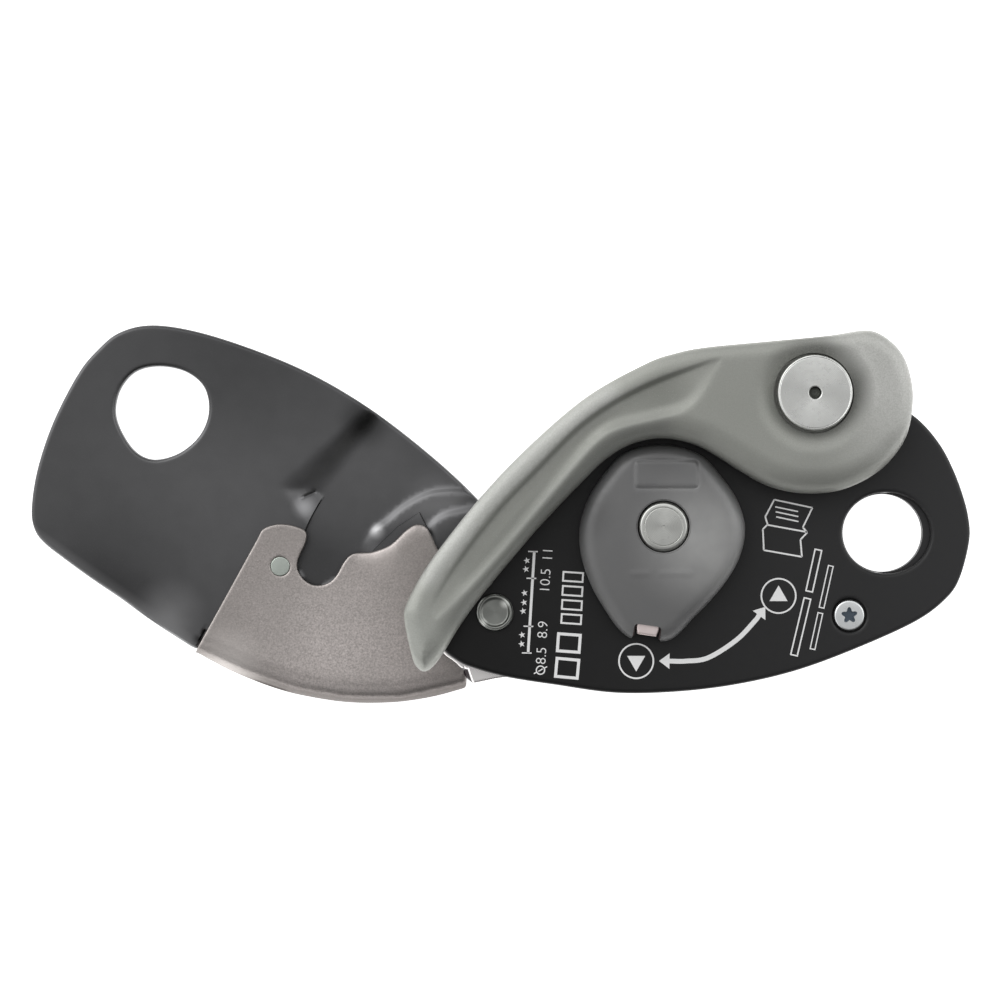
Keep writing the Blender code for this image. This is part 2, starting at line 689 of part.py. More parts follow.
# ---------------------------------------------------------------- handle, its pin and the release dog
HANDLE_SPINE = [(-50.5, -27.0), (-47.0, -18.0), (-36.5, -3.5), (-22.0, 12.5), (-6.0, 25.5), (12.0, 29.5), (30.8, 27.6)]
handle_ring = smooth_ring(HANDLE_OUTLINE, 2.2)


def handle_top(x, y):
    """Crowned back: full height at the pin, thinner towards the finger tip."""
    away = distance_to(handle_ring, x, y)
    reach = math.dist((x, y), HANDLE_PIN)
    crest = Z_HANDLE[1] - 3.4 * step_up(reach, 20, 92)
    round_off = max(0.0, 1 - away / 4.0)
    return crest - 3.6 * round_off * round_off


handle = sheet(
    "handle_lever",
    handle_ring,
    [circle(HANDLE_PIN, HANDLE_SHANK_R + GAP, 28)],
    handle_top,
    lambda x, y: Z_HANDLE[0],
    3.2,
    HANDLE_GREY,
)
boolean(handle, cylinder_cutter("pin_head_recess", HANDLE_PIN, HANDLE_HEAD_R + 0.35, 30.2, 34.0, count=48))
turned(
    "handle_pin",
    [
        (0, 32.6), (1.1, 32.6), (1.3, 32.9), (7.2, 32.9), (HANDLE_HEAD_R, 32.4), (HANDLE_HEAD_R, 30.5), (HANDLE_SHANK_R, 30.5),
        (HANDLE_SHANK_R, 5.6), (3.4, 5.6), (3.4, 4.6), (HANDLE_SHANK_R, 4.6), (HANDLE_SHANK_R, 4.0), (3.6, 3.6), (0, 3.6),
    ],
    HANDLE_PIN,
    ZINC,
    36,
)
turned("handle_washer", [(9.0, 20.8), (9.0, 20.2), (4.3, 20.2), (4.3, 20.8)], HANDLE_PIN, KNOB_GREY, 36, loop=True)
dog_tip = polar(HANDLE_PIN, DOG_LENGTH, DOG_DEG)
dog_ring = arc(HANDLE_PIN, 7.2, DOG_DEG + 70, DOG_DEG + 290, 20) + arc(dog_tip, 2.3, DOG_DEG - 90, DOG_DEG + 90, 8)
if signed_area(dog_ring) < 0:
    dog_ring.reverse()
prism("release_dog", [dog_ring, circle(HANDLE_PIN, HANDLE_SHANK_R + GAP, 28)], 6.1, 12.1, STEEL)
ring_outer = arc(HANDLE_PIN, 6.2, 30, 330, 28)
ring_inner = arc(HANDLE_PIN, 3.7, 330, 30, 24)
prism("dog_retaining_ring", [ring_outer + ring_inner], 4.9, 5.3, SPRING)
wire(
    "handle_return_spring",
    [(*polar(HANDLE_PIN, 7.2, -30), 12.9)] + coil(HANDLE_PIN, 5.4, 12.9, 14.1, 1.5, 0) + [(*polar(HANDLE_PIN, 7.2, 210), 14.1)],
    0.4,
    SPRING,
)

# ---------------------------------------------------------------- selector knob, detent and lock button
knob_ring = polar_ring(KNOB_RADII, 2.3)
knob_sections = [
    (inset(knob_ring, 0.3), Z_KNOB[0]),
    (knob_ring, Z_KNOB[0] + 0.4),
    (knob_ring, Z_KNOB[1] - 2.2),
    (inset(knob_ring, 0.5), Z_KNOB[1] - 1.1),
    (inset(knob_ring, 1.3), Z_KNOB[1] - 0.3),
    (inset(knob_ring, 2.3), Z_KNOB[1]),
]
knob = loft("selector_knob", knob_sections, KNOB_GREY)
boolean(knob, cylinder_cutter("knob_bore", (0, 0), AXLE_SHAFT_R + GAP, 19.0, 28.0, count=36))
boolean(knob, cylinder_cutter("knob_counterbore", (0, 0), KNOB_BORE_R, 23.0, 28.0, count=40))
boolean(knob, cylinder_cutter("detent_pocket", polar((0, 0), 12.0, 150), 1.8, 19.0, 23.6, count=20))
button_dir = math.degrees(math.atan2(BUTTON[1], BUTTON[0]))


def radial_box(half_width, r0, r1):
    across = polar((0, 0), half_width, button_dir + 90)
    a, b = polar((0, 0), r0, button_dir), polar((0, 0), r1, button_dir)
    return [
        (a[0] - across[0], a[1] - across[1]),
        (b[0] - across[0], b[1] - across[1]),
        (b[0] + across[0], b[1] + across[1]),
        (a[0] + across[0], a[1] + across[1]),
    ]


boolean(knob, prism_cutter("button_slot", [radial_box(3.0, 14.3, 27.0)], 20.6, 25.0))
boolean(knob, prism_cutter("button_window", [radial_box(2.9, 19.9, 27.0)], 20.9, 27.0))
ball = bpy.data.meshes.new("detent_ball")
ball_work = bmesh.new()
bmesh.ops.create_uvsphere(ball_work, u_segments=16, v_segments=10, radius=1.4 * MM)
ball_work.to_mesh(ball)
ball_work.free()
finish_mesh(ball, 60)
ball_obj = place("detent_ball", ball, POLISHED)
ball_obj.location = (polar((0, 0), 12.0, 150)[0] * MM, polar((0, 0), 12.0, 150)[1] * MM, 21.35 * MM)
wire("detent_spring", coil(polar((0, 0), 12.0, 150), 1.1, 23.05, 23.4, 1.0, 0, 12), 0.15, SPRING)
prism("lock_button", [radial_box(2.4, 17.9, 23.2)], 20.9, 24.7, ZINC)
wire(
    "lock_button_spring",
    [
        (*polar((0, 0), 16.05 + 1.45 * k / 15, button_dir + 3.0 * math.cos(2 * math.pi * k / 5)), 22.8 + 0.9 * math.sin(2 * math.pi * k / 5))
        for k in range(16)
    ],
    0.2,
    SPRING,
)

# ---------------------------------------------------------------- joint axes
AXES = {
    "side_plate_axis": (
        (*PIVOT, 0),
        ("moving_side_plate", "moving_wear_plate", "wear_plate_rivet_outer", "wear_plate_rivet_inner"),
    ),
    "cam_axis": ((0, 0, 0), ("cam", "cam_bushing", "cam_tail_pin")),
    "handle_axis": (
        (*HANDLE_PIN, 0),
        ("handle_lever", "handle_pin", "handle_washer", "release_dog", "dog_retaining_ring", "handle_return_spring"),
    ),
    "selector_axis": ((0, 0, 0), ("selector_knob", "detent_ball", "detent_spring")),
    "button_axis": ((*BUTTON, 0), ("lock_button", "lock_button_spring")),
}
bpy.context.view_layer.update()
for axis_name, (spot, children) in AXES.items():
    empty = bpy.data.objects.new(axis_name, None)
    empty.location = [v * MM for v in spot]
    PARTS.objects.link(empty)
    for child in children:
        obj = bpy.data.objects[child]
        obj.parent = empty
        obj.matrix_parent_inverse = empty.matrix_basis.inverted()
bpy.data.objects["button_axis"].parent = bpy.data.objects["selector_axis"]
bpy.context.view_layer.update()
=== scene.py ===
"""Looks of the assisted-braking rope device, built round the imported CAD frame. Working unit: mm, scaled to metres."""

import math

import bmesh
import bpy
import numpy as np
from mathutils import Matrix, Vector
from mathutils.geometry import delaunay_2d_cdt


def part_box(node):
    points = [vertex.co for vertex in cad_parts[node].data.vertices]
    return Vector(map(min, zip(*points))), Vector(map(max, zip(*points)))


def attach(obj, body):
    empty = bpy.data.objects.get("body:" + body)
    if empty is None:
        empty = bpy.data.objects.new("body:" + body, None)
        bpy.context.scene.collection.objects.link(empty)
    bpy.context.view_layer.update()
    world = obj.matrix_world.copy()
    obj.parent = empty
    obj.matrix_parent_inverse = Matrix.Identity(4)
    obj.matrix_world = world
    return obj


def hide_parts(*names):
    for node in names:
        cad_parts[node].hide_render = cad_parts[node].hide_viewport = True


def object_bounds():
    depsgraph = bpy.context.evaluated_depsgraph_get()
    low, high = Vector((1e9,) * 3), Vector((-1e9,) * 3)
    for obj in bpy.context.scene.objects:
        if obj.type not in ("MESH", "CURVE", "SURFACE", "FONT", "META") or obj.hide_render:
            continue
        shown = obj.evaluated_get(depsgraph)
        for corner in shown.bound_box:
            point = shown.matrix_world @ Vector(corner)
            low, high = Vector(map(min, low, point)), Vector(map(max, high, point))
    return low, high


MM = 0.001
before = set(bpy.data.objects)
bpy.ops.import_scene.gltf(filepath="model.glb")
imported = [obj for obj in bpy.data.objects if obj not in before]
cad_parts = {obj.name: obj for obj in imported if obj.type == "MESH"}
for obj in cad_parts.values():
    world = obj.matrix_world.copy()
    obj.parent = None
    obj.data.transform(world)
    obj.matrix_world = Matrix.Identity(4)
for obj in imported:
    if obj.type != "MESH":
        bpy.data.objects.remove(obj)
CAD_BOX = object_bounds()


# ---------------------------------------------------------------- places, read from the CAD nodes
def centre_of(node):
    low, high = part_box(node)
    return ((low.x + high.x) * 500, (low.y + high.y) * 500)


def z_of(node):
    low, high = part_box(node)
    return (low.z * 1000, high.z * 1000)


PIVOT = centre_of("pivot_rivet")
PIN = centre_of("handle_pin")
STOP = centre_of("stop_screw")
SHOE_RIVET = centre_of("shoe_rivet")
RIVET_OUTER = centre_of("wear_plate_rivet_outer")
RIVET_INNER = centre_of("wear_plate_rivet_inner")
TAIL_PIN = centre_of("cam_tail_pin")
DETENT = centre_of("detent_ball")
Z_FIXED = z_of("fixed_side_plate")
Z_KNOB = z_of("selector_knob")
Z_HANDLE = z_of("handle_lever")
Z_MOVING = z_of("moving_side_plate")
Z_SHOE = z_of("friction_shoe")
Z_CAM = z_of("cam")
Z_BUTTON = z_of("lock_button")
PLATE_TOP = Z_MOVING[1]
WEAR_TOP = z_of("moving_wear_plate")[1]
FACE = Z_FIXED[1]

# ---------------------------------------------------------------- outlines (control points; "c" marks a tight corner)
FIXED_OUTLINE = [
    (-46.9, -24.4, "c"), (-45.3, -26.6), (-43.4, -28.0), (-41.7, -29.05), (-39.2, -29.9), (-36.1, -30.85), (-31.0, -32.0), (-22.5, -33.3), (-9.9, -35), (2.8, -34.8),
    (15.4, -33.3), (28, -30.4), (40.6, -25.8), (53.2, -20.1), (59.5, -15.5), (62.6, -11.1), (64.7, -3.1),
    (64.5, 2), (63.2, 7), (61.3, 12), (58.6, 17.1), (54.4, 22.1), (47.5, 27.5), (41.5, 34.0), (34.5, 37.2),
    (26.5, 36.6), (16.0, 35.0), (4.0, 32.6), (-7.0, 28.2), (-17.0, 21.4), (-27.0, 12.0), (-36.0, 1.0), (-43.5, -11.0),
]
MOVING_OUTLINE = [
    (-101.1, -26.3, "c"), (-109.7, -20.7), (-116.2, -15.9), (-122.7, -11.4), (-129.2, -6.6), (-132.5, -4),
    (-134.7, -1.2), (-135.5, 3.4), (-134.2, 12.2), (-130.7, 22.6), (-125.3, 33.0), (-121, 38.2), (-116.5, 41.8),
    (-109.7, 43.4), (-100, 42.1), (-87, 38), (-74, 32.4), (-61.1, 24.6), (-48.1, 14.4), (-38.5, 5.3),
    (-32.0, -3.0), (-27.3, -11.5), (-26.2, -18.5), (-28.6, -24.6), (-35, -28.0), (-40.4, -29.6), (-43.6, -31.4, "c"),
    (-52.0, -33.5), (-61, -34.4), (-71, -33.6), (-80.4, -31.2), (-87.5, -28.5), (-92.6, -27.2), (-98.4, -26.9, "c"),
    (-99.9, -26.8),
]
WEAR_OUTLINE = [
    (-99.9, -27.4, "c"), (-98.9, -25.6), (-86.9, -3.8), (-85.4, -1), (-82.6, 0.2), (-79.8, 0.2), (-77.2, -0.5),
    (-75.9, -1.4), (-75.9, -3.5), (-77.15, -6.2), (-77.85, -8.6), (-77.0, -11.0), (-75.2, -12.5), (-73.2, -12.95),
    (-70.9, -12.35), (-69.3, -10.8), (-68.2, -8.8), (-66.9, -6.9), (-65.1, -5.9), (-61.6, -5.7), (-57.7, -4.2),
    (-54.5, -1.2), (-52.4, 0.2), (-50.8, 0.1), (-49.4, -1.1), (-47, -5.9), (-43.8, -9.2), (-36.5, -9.6), (-29.4, -12.0),
    (-26.6, -18.0), (-29.4, -24.0), (-35.5, -26.6), (-40.4, -29.0), (-41.4, -35.2, "c"), (-48, -37), (-54.5, -38.1),
    (-61, -38.5), (-67.5, -38.3), (-73.9, -37.4), (-80.4, -36.0), (-86.9, -33.8), (-93.4, -31),
]
WEAR_CREASE = [(-98.8, -24.9), (-88, -29.7), (-77.2, -33.4), (-66.4, -35.2), (-55.6, -35.2), (-42.6, -32.3)]
WEAR_HUMP = [(-64.5, -5.8), (-61.6, -5.6), (-57.7, -4.1), (-54.5, -1.1), (-52.4, 0.3), (-50.8, 0.2)]
MOVING_HOLE = [
    (-117.3, 24.6), (-116.2, 29.6), (-112.8, 33.4), (-107.5, 34.5), (-101.8, 33.2), (-98.0, 29.8), (-97.1, 24.6),
    (-99.0, 19.6), (-103.3, 15.8), (-108.6, 14.3), (-112.7, 15.8), (-115.8, 19.9),
]
HANDLE_OUTLINE = [
    (-52.4, -26.9), (-54.0, -19.0), (-53.4, -15.9), (-50.9, -11.0), (-46.9, -5.0), (-38.4, 5.7), (-28.8, 15.9),
    (-16.3, 26.7), (-3.9, 33.7), (2.4, 35.9), (8.6, 37.1), (21.1, 38.3), (33.6, 39.5), (39.8, 40.5), (42.9, 40.6),
    (46, 39.2), (49.2, 36.1), (51, 31.9), (51.7, 26.3), (50.4, 18.8), (47.1, 13.6), (42.1, 9.8), (35.6, 7.3),
    (28.2, 7), (21.6, 8.6), (15.6, 11.9), (10.9, 14.9), (6.3, 17.2), (0.0, 18.4), (-6.3, 17.3), (-11.6, 14.3),
    (-16.6, 9.6), (-24.9, 0.9), (-30.2, -5.2), (-37.7, -14.3), (-42.2, -20.5), (-46.6, -27.6), (-49.4, -30.3), (-51.3, -29.5),
]
GROOVE_HIGH = [
    (-48.9, -16.6), (-42.5, -6.3), (-34.2, 4.3), (-26.1, 12.6), (-17.9, 20.8), (-9.8, 26.4), (-1.5, 30.5),
    (6.5, 33.4), (12.9, 35.9),
]
GROOVE_LOW = [
    (-47.8, -20.7), (-41.9, -14.7), (-32.6, -4.6), (-18.7, 12.1), (-13.1, 18.6), (-9.6, 20.4), (-1.3, 22.3),
    (5.7, 24.6), (10.2, 31.0), (11.9, 33.4),
]
KNOB_RADII = [
    (0, 17.2), (20, 16.5), (40, 16.1), (60, 16.9), (80, 17.0), (100, 17.2), (120, 17.3), (140, 16.4), (160, 16.6),
    (180, 17.3), (200, 18.1), (220, 19.4), (232, 20.7), (243, 22.6), (250, 23.9), (256, 24.4), (265, 24.1), (273, 23.9),
    (279, 22.6), (288, 20.3), (300, 18.7), (320, 17.5), (340, 17.3),
]
CAM_RADII = [
    (0, 11.0), (30, 11.0), (60, 12.0), (90, 13.2), (120, 14.6), (150, 15.4), (180, 15.9), (210, 16.6), (235, 17.4),
    (250, 17.6), (268, 15.6), (290, 12.6), (320, 11.2),
]
CARABINER_FIXED, CARABINER_FIXED_R = (47.2, -1.4), (9.3, 8.5)


# ---------------------------------------------------------------- geometry helpers
def catmull(p0, p1, p2, p3, t):
    a = -0.5 * t + t * t - 0.5 * t**3
    b = 1 - 2.5 * t * t + 1.5 * t**3
    c = 0.5 * t + 2 * t * t - 1.5 * t**3
    d = -0.5 * t * t + 0.5 * t**3
    return (a * p0[0] + b * p1[0] + c * p2[0] + d * p3[0], a * p0[1] + b * p1[1] + c * p2[1] + d * p3[1])


def area_of(ring):
    x, y = ring[:, 0], ring[:, 1]
    return 0.5 * float(np.sum(x * np.roll(y, -1) - y * np.roll(x, -1)))


def evenly(ring, step):
    """The closed ring resampled at an even step."""
    closed = np.vstack([ring, ring[:1]])
    lengths = np.hypot(*np.diff(closed, axis=0).T)
    along = np.concatenate([[0], np.cumsum(lengths)])
    count = max(8, int(round(along[-1] / step)))
    at = np.linspace(0, along[-1], count, endpoint=False)
    return np.column_stack([np.interp(at, along, closed[:, 0]), np.interp(at, along, closed[:, 1])])


def smooth_ring(points, step, ease=0):
    """Closed anticlockwise ring through the control points; ease rounds its tight corners a little."""
    n = len(points)
    corner = [len(p) > 2 for p in points]
    pts = [(p[0], p[1]) for p in points]
    ring = []
    for i in range(n):
        p1, p2 = pts[i], pts[(i + 1) % n]
        p0 = pts[i - 1] if not corner[i] else (2 * p1[0] - p2[0], 2 * p1[1] - p2[1])
        p3 = pts[(i + 2) % n] if not corner[(i + 1) % n] else (2 * p2[0] - p1[0], 2 * p2[1] - p1[1])
        count = max(2, round(math.dist(p1, p2) / 0.15))
        ring += [catmull(p0, p1, p2, p3, k / count) for k in range(count)]
    ring = evenly(np.array(ring), step)
    for _ in range(ease):
        ring = 0.5 * ring + 0.25 * (np.roll(ring, 1, 0) + np.roll(ring, -1, 0))
    return ring if area_of(ring) > 0 else ring[::-1].copy()


def circle(centre, radius, step=0.45, ry=None):
    ry = radius if ry is None else ry
    count = max(24, int(round(2 * math.pi * radius / step)))
    t = np.linspace(0, 2 * math.pi, count, endpoint=False)
    return np.column_stack([centre[0] + radius * np.cos(t), centre[1] + ry * np.sin(t)])


def arc(centre, radius, start, end, count):
    t = np.radians(np.linspace(start, end, count + 1))
    return np.column_stack([centre[0] + radius * np.cos(t), centre[1] + radius * np.sin(t)])


def polar(centre, radius, degrees):
    return (centre[0] + radius * math.cos(math.radians(degrees)), centre[1] + radius * math.sin(math.radians(degrees)))


def nearest(points, ring, is_closed=True):
    """Distance of each point to the line, and the index of the nearest piece of it."""
    a = ring if is_closed else ring[:-1]
    b = np.roll(ring, -1, 0) if is_closed else ring[1:]
    d = b - a
    length2 = np.maximum((d * d).sum(1), 1e-12)
    best, index = np.empty(len(points)), np.empty(len(points), int)
    for k in range(0, len(points), 1500):
        p = points[k : k + 1500]
        rel = p[:, None, :] - a[None]
        t = np.clip((rel * d[None]).sum(2) / length2[None], 0, 1)
        gap = np.hypot(*(rel - t[..., None] * d[None]).transpose(2, 0, 1))
        index[k : k + 1500] = gap.argmin(1)
        best[k : k + 1500] = gap.min(1)
    return best, index


def inside(points, ring):
    a, b = ring, np.roll(ring, -1, 0)
    result = np.zeros(len(points), bool)
    for k in range(0, len(points), 1500):
        x, y = points[k : k + 1500, 0][:, None], points[k : k + 1500, 1][:, None]
        crosses = (a[None, :, 1] > y) != (b[None, :, 1] > y)
        dy = np.where(b[:, 1] == a[:, 1], 1e-12, b[:, 1] - a[:, 1])[None]
        hit = crosses & (x < (b[None, :, 0] - a[None, :, 0]) * (y - a[None, :, 1]) / dy + a[None, :, 0])
        result[k : k + 1500] = hit.sum(1) % 2 == 1
    return result


def signed(points, ring):
    """Distance to the ring, positive inside it."""
    gap, _ = nearest(points, ring)
    return np.where(inside(points, ring), gap, -gap)


def step_up(value, low, high):
    t = np.clip((value - low) / (high - low), 0, 1)
    return t * t * (3 - 2 * t)


def ellipse_drop(d, width, height):
    """How far a rounded edge lies below its face at distance d from the outline."""
    u = np.clip(1 - d / width, 0, 1)
    return height * (1 - np.sqrt(np.maximum(0, 1 - u * u)))


def inset(ring, amount):
    ahead, behind = np.roll(ring, -1, 0), np.roll(ring, 1, 0)
    t = ahead - behind
    t /= np.maximum(np.hypot(t[:, 0], t[:, 1]), 1e-9)[:, None]
    return ring + amount * np.column_stack([-t[:, 1], t[:, 0]])


def new_object(name, verts, faces, look, angle=38):
    mesh = bpy.data.meshes.new(name)
    mesh.from_pydata([tuple(v) for v in verts], [], [tuple(int(i) for i in f) for f in faces])
    mesh.update()
    mesh.shade_smooth()
    mesh.set_sharp_from_angle(angle=math.radians(angle))
    mesh.materials.append(look)
    obj = bpy.data.objects.new(name, mesh)
    bpy.context.scene.collection.objects.link(obj)
    return obj


def slab(name, outer, holes, top, bottom, edge, low_edge, spacing, look, offsets=(), guides=(), angle=38):
    """A flat or sculpted piece with rounded edges.

    top(p, d) and bottom(p, d) give the heights at points p, whose distance to the outline or to a hole is d.
    edge and low_edge are the radii of the upper and lower borders.
    """
    holes = [h if area_of(h) < 0 else h[::-1].copy() for h in holes]
    rings = [outer] + holes
    radius = max(edge, low_edge)
    rows = [radius * (1 - math.cos(math.radians(a))) for a in (24, 40, 54, 67, 79, 90)] if radius > 0.3 else [
        radius * 0.3, radius
    ]
    rows += [radius + 0.35, *offsets]
    points, edges, fixed = [], [], 0
    for ring in rings:
        edges += [(fixed + k, fixed + (k + 1) % len(ring)) for k in range(len(ring))]
        fixed += len(ring)
        points.append(ring)
    for row in rows:
        for ring in rings:
            moved = inset(ring, row)
            gap = np.min([nearest(moved, r)[0] for r in rings], axis=0)
            keep = (gap > row * 0.97) & inside(moved, outer)
            for h in holes:
                keep &= ~inside(moved, h)
            points.append(moved[keep])
    for guide in guides:
        g = np.array(guide, float)
        gap = np.min([nearest(g, r)[0] for r in rings], axis=0)
        keep = inside(g, outer) & (gap > 0.3)
        for h in holes:
            keep &= ~inside(g, h)
        points.append(g[keep])
    low, high = outer.min(0), outer.max(0)
    ys = np.arange(low[1], high[1], spacing * 0.866)
    grid = []
    for k, y in enumerate(ys):
        xs = np.arange(low[0] + (spacing / 2 if k % 2 else 0), high[0], spacing)
        grid.append(np.column_stack([xs, np.full(len(xs), y)]))
    grid = np.concatenate(grid)
    keep = inside(grid, outer)
    for h in holes:
        keep &= ~inside(grid, h)
    grid = grid[keep]
    gap = np.min([nearest(grid, r)[0] for r in rings], axis=0)
    grid = grid[gap > max(rows) + 0.35 * spacing]
    for guide in guides:
        g = np.array(guide, float)
        if len(grid) and len(g):
            far = np.full(len(grid), 1e9)
            for k in range(0, len(grid), 1500):
                far[k : k + 1500] = np.hypot(*(grid[k : k + 1500][:, None] - g[None]).transpose(2, 0, 1)).min(1)
            grid = grid[far > 0.4 * spacing]
    points.append(grid)
    everything = np.vstack(points)
    flat, _, tris, *_ = delaunay_2d_cdt([Vector(p) for p in everything.tolist()], edges, [], 1, 1e-5)
    xy = np.array([(p.x, p.y) for p in flat])
    tri = np.array([t for t in tris if len(t) == 3])
    mid = xy[tri].mean(1)
    keep = inside(mid, outer)
    for h in holes:
        keep &= ~inside(mid, h)
    tri = tri[keep]
    a, b, c = xy[tri[:, 0]], xy[tri[:, 1]], xy[tri[:, 2]]
    turn = (b[:, 0] - a[:, 0]) * (c[:, 1] - a[:, 1]) - (b[:, 1] - a[:, 1]) * (c[:, 0] - a[:, 0])
    tri[turn < 0] = tri[turn < 0][:, ::-1]
    used, inverse = np.unique(tri, return_inverse=True)
    xy, tri = xy[used], inverse.reshape(tri.shape)
    d = np.min([nearest(xy, r)[0] for r in rings], axis=0)
    d[d < 1e-4] = 0
    z_top = top(xy, d) - (ellipse_drop(d, edge, edge) if edge else 0)
    z_low = bottom(xy, d) + (ellipse_drop(d, low_edge, low_edge) if low_edge else 0)
    count = len(xy)
    verts = np.vstack([np.column_stack([xy, z_top]), np.column_stack([xy, z_low])]) * MM
    pairs = {}
    for face in tri.tolist():
        for p, q in ((face[0], face[1]), (face[1], face[2]), (face[2], face[0])):
            pairs[(p, q)] = True
    walls = [(q, p, count + p, count + q) for p, q in pairs if (q, p) not in pairs]
    faces = tri.tolist() + (tri[:, ::-1] + count).tolist() + walls
    return new_object(name, verts, faces, look, angle)


def flat_slab(name, outer, holes, z0, z1, edge, look, spacing=2.0, **more):
    return slab(
        name, outer, holes, lambda p, d: np.full(len(p), z1), lambda p, d: np.full(len(p), z0), edge, edge, spacing, look, **more
    )


def rounded_profile(profile, is_closed=False, pieces=4):
    """(r, z) or (r, z, fillet) points with their corners rounded."""
    n, out = len(profile), []
    for i, item in enumerate(profile):
        p = np.array(item[:2], float)
        fillet = item[2] if len(item) > 2 else 0
        if not fillet or (not is_closed and i in (0, n - 1)):
            out.append(tuple(p))
            continue
        a, b = np.array(profile[i - 1][:2], float) - p, np.array(profile[(i + 1) % n][:2], float) - p
        la, lb = np.linalg.norm(a), np.linalg.norm(b)
        cut = min(fillet, 0.48 * la, 0.48 * lb)
        p0, p2 = p + a / la * cut, p + b / lb * cut
        for k in range(pieces + 1):
            t = k / pieces
            out.append(tuple((1 - t) ** 2 * p0 + 2 * t * (1 - t) * p + t * t * p2))
    return out


def lathe(name, profile, centre, look, steps=96, loop=False, radius=None, angle=38):
    """A turned piece whose origin is on its axis. The argument radius is not used."""
    prof = rounded_profile(profile, loop)
    t = np.linspace(0, 2 * math.pi, steps, endpoint=False)
    verts, rows = [], []
    for r, z in prof:
        if r < 1e-6 and not loop:
            rows.append([len(verts)] * steps)
            verts.append((0, 0, z * MM))
        else:
            rows.append(list(range(len(verts), len(verts) + steps)))
            verts += [(r * math.cos(a) * MM, r * math.sin(a) * MM, z * MM) for a in t]
    faces = []
    spans = list(zip(rows, rows[1:])) + ([(rows[-1], rows[0])] if loop else [])
    for upper, lower in spans:
        for k in range(steps):
            n = (k + 1) % steps
            quad = [upper[k], lower[k], lower[n], upper[n]]
            face = [v for i, v in enumerate(quad) if v != quad[i - 1]]
            if len(face) > 2:
                faces.append(face)
    obj = new_object(name, verts, faces, look, angle)
    fix_normals(obj)
    obj.location = (centre[0] * MM, centre[1] * MM, 0)
    return obj


def fix_normals(obj):
    work = bmesh.new()
    work.from_mesh(obj.data)
    bmesh.ops.recalc_face_normals(work, faces=work.faces)
    work.to_mesh(obj.data)
    work.free()


def tube(name, points, radius, look, sides=12):
    """Round wire with flat ends along the points."""
    pts = np.array(points, float)
    tangent = np.gradient(pts, axis=0)
    tangent /= np.linalg.norm(tangent, axis=1)[:, None]
    normal = np.cross(tangent[0], (0, 0, 1.0))
    if np.linalg.norm(normal) < 1e-6:
        normal = np.array((1.0, 0, 0))
    verts = []
    for p, t in zip(pts, tangent):
        normal = normal - t * np.dot(normal, t)
        normal /= np.linalg.norm(normal)
        other = np.cross(t, normal)
        for k in range(sides):
            a = 2 * math.pi * k / sides
            verts.append((p + radius * (math.cos(a) * normal + math.sin(a) * other)) * MM)
    faces = []
    for i in range(len(pts) - 1):
        for k in range(sides):
            n = (k + 1) % sides
            faces.append((i * sides + k, i * sides + n, (i + 1) * sides + n, (i + 1) * sides + k))
    faces.append(tuple(range(sides))[::-1])
    faces.append(tuple((len(pts) - 1) * sides + k for k in range(sides)))
    obj = new_object(name, verts, faces, look)
    fix_normals(obj)
    return obj


def coil(centre, radius, z0, z1, turns, start, per_turn=48):
    count = int(turns * per_turn)
    return [
        (
            centre[0] + radius * math.cos(math.radians(start) + 2 * math.pi * turns * k / count),
            centre[1] + radius * math.sin(math.radians(start) + 2 * math.pi * turns * k / count),
            z0 + (z1 - z0) * k / count,
        )
        for k in range(count + 1)
    ]


def combine(obj, other, operation):
    """Applies a Boolean and drops the other object."""
    change = obj.modifiers.new("combine", "BOOLEAN")
    change.operation, change.object, change.solver = operation, other, "EXACT"
    graph = bpy.context.evaluated_depsgraph_get()
    made = bpy.data.meshes.new_from_object(obj.evaluated_get(graph))
    obj.modifiers.clear()
    obj.data = made
    made.shade_smooth()
    made.set_sharp_from_angle(angle=math.radians(38))
    bpy.data.objects.remove(other, do_unlink=True)
    return obj


def place(obj, body, slot, *nodes):
    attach(obj, body)
    if nodes:
        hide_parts(*nodes)
    return obj


# ---------------------------------------------------------------- materials
def linear(value):
    value /= 255
    return value / 12.92 if value <= 0.04045 else ((value + 0.055) / 1.055) ** 2.4


def spaced(points, step):
    """Spots at equal steps along an open line, in mm."""
    pts = np.array(points, float)
    run = np.concatenate([[0], np.cumsum(np.hypot(np.diff(pts[:, 0]), np.diff(pts[:, 1])))])
    return [(float(np.interp(t, run, pts[:, 0])), float(np.interp(t, run, pts[:, 1]))) for t in np.arange(0, run[-1], step)]


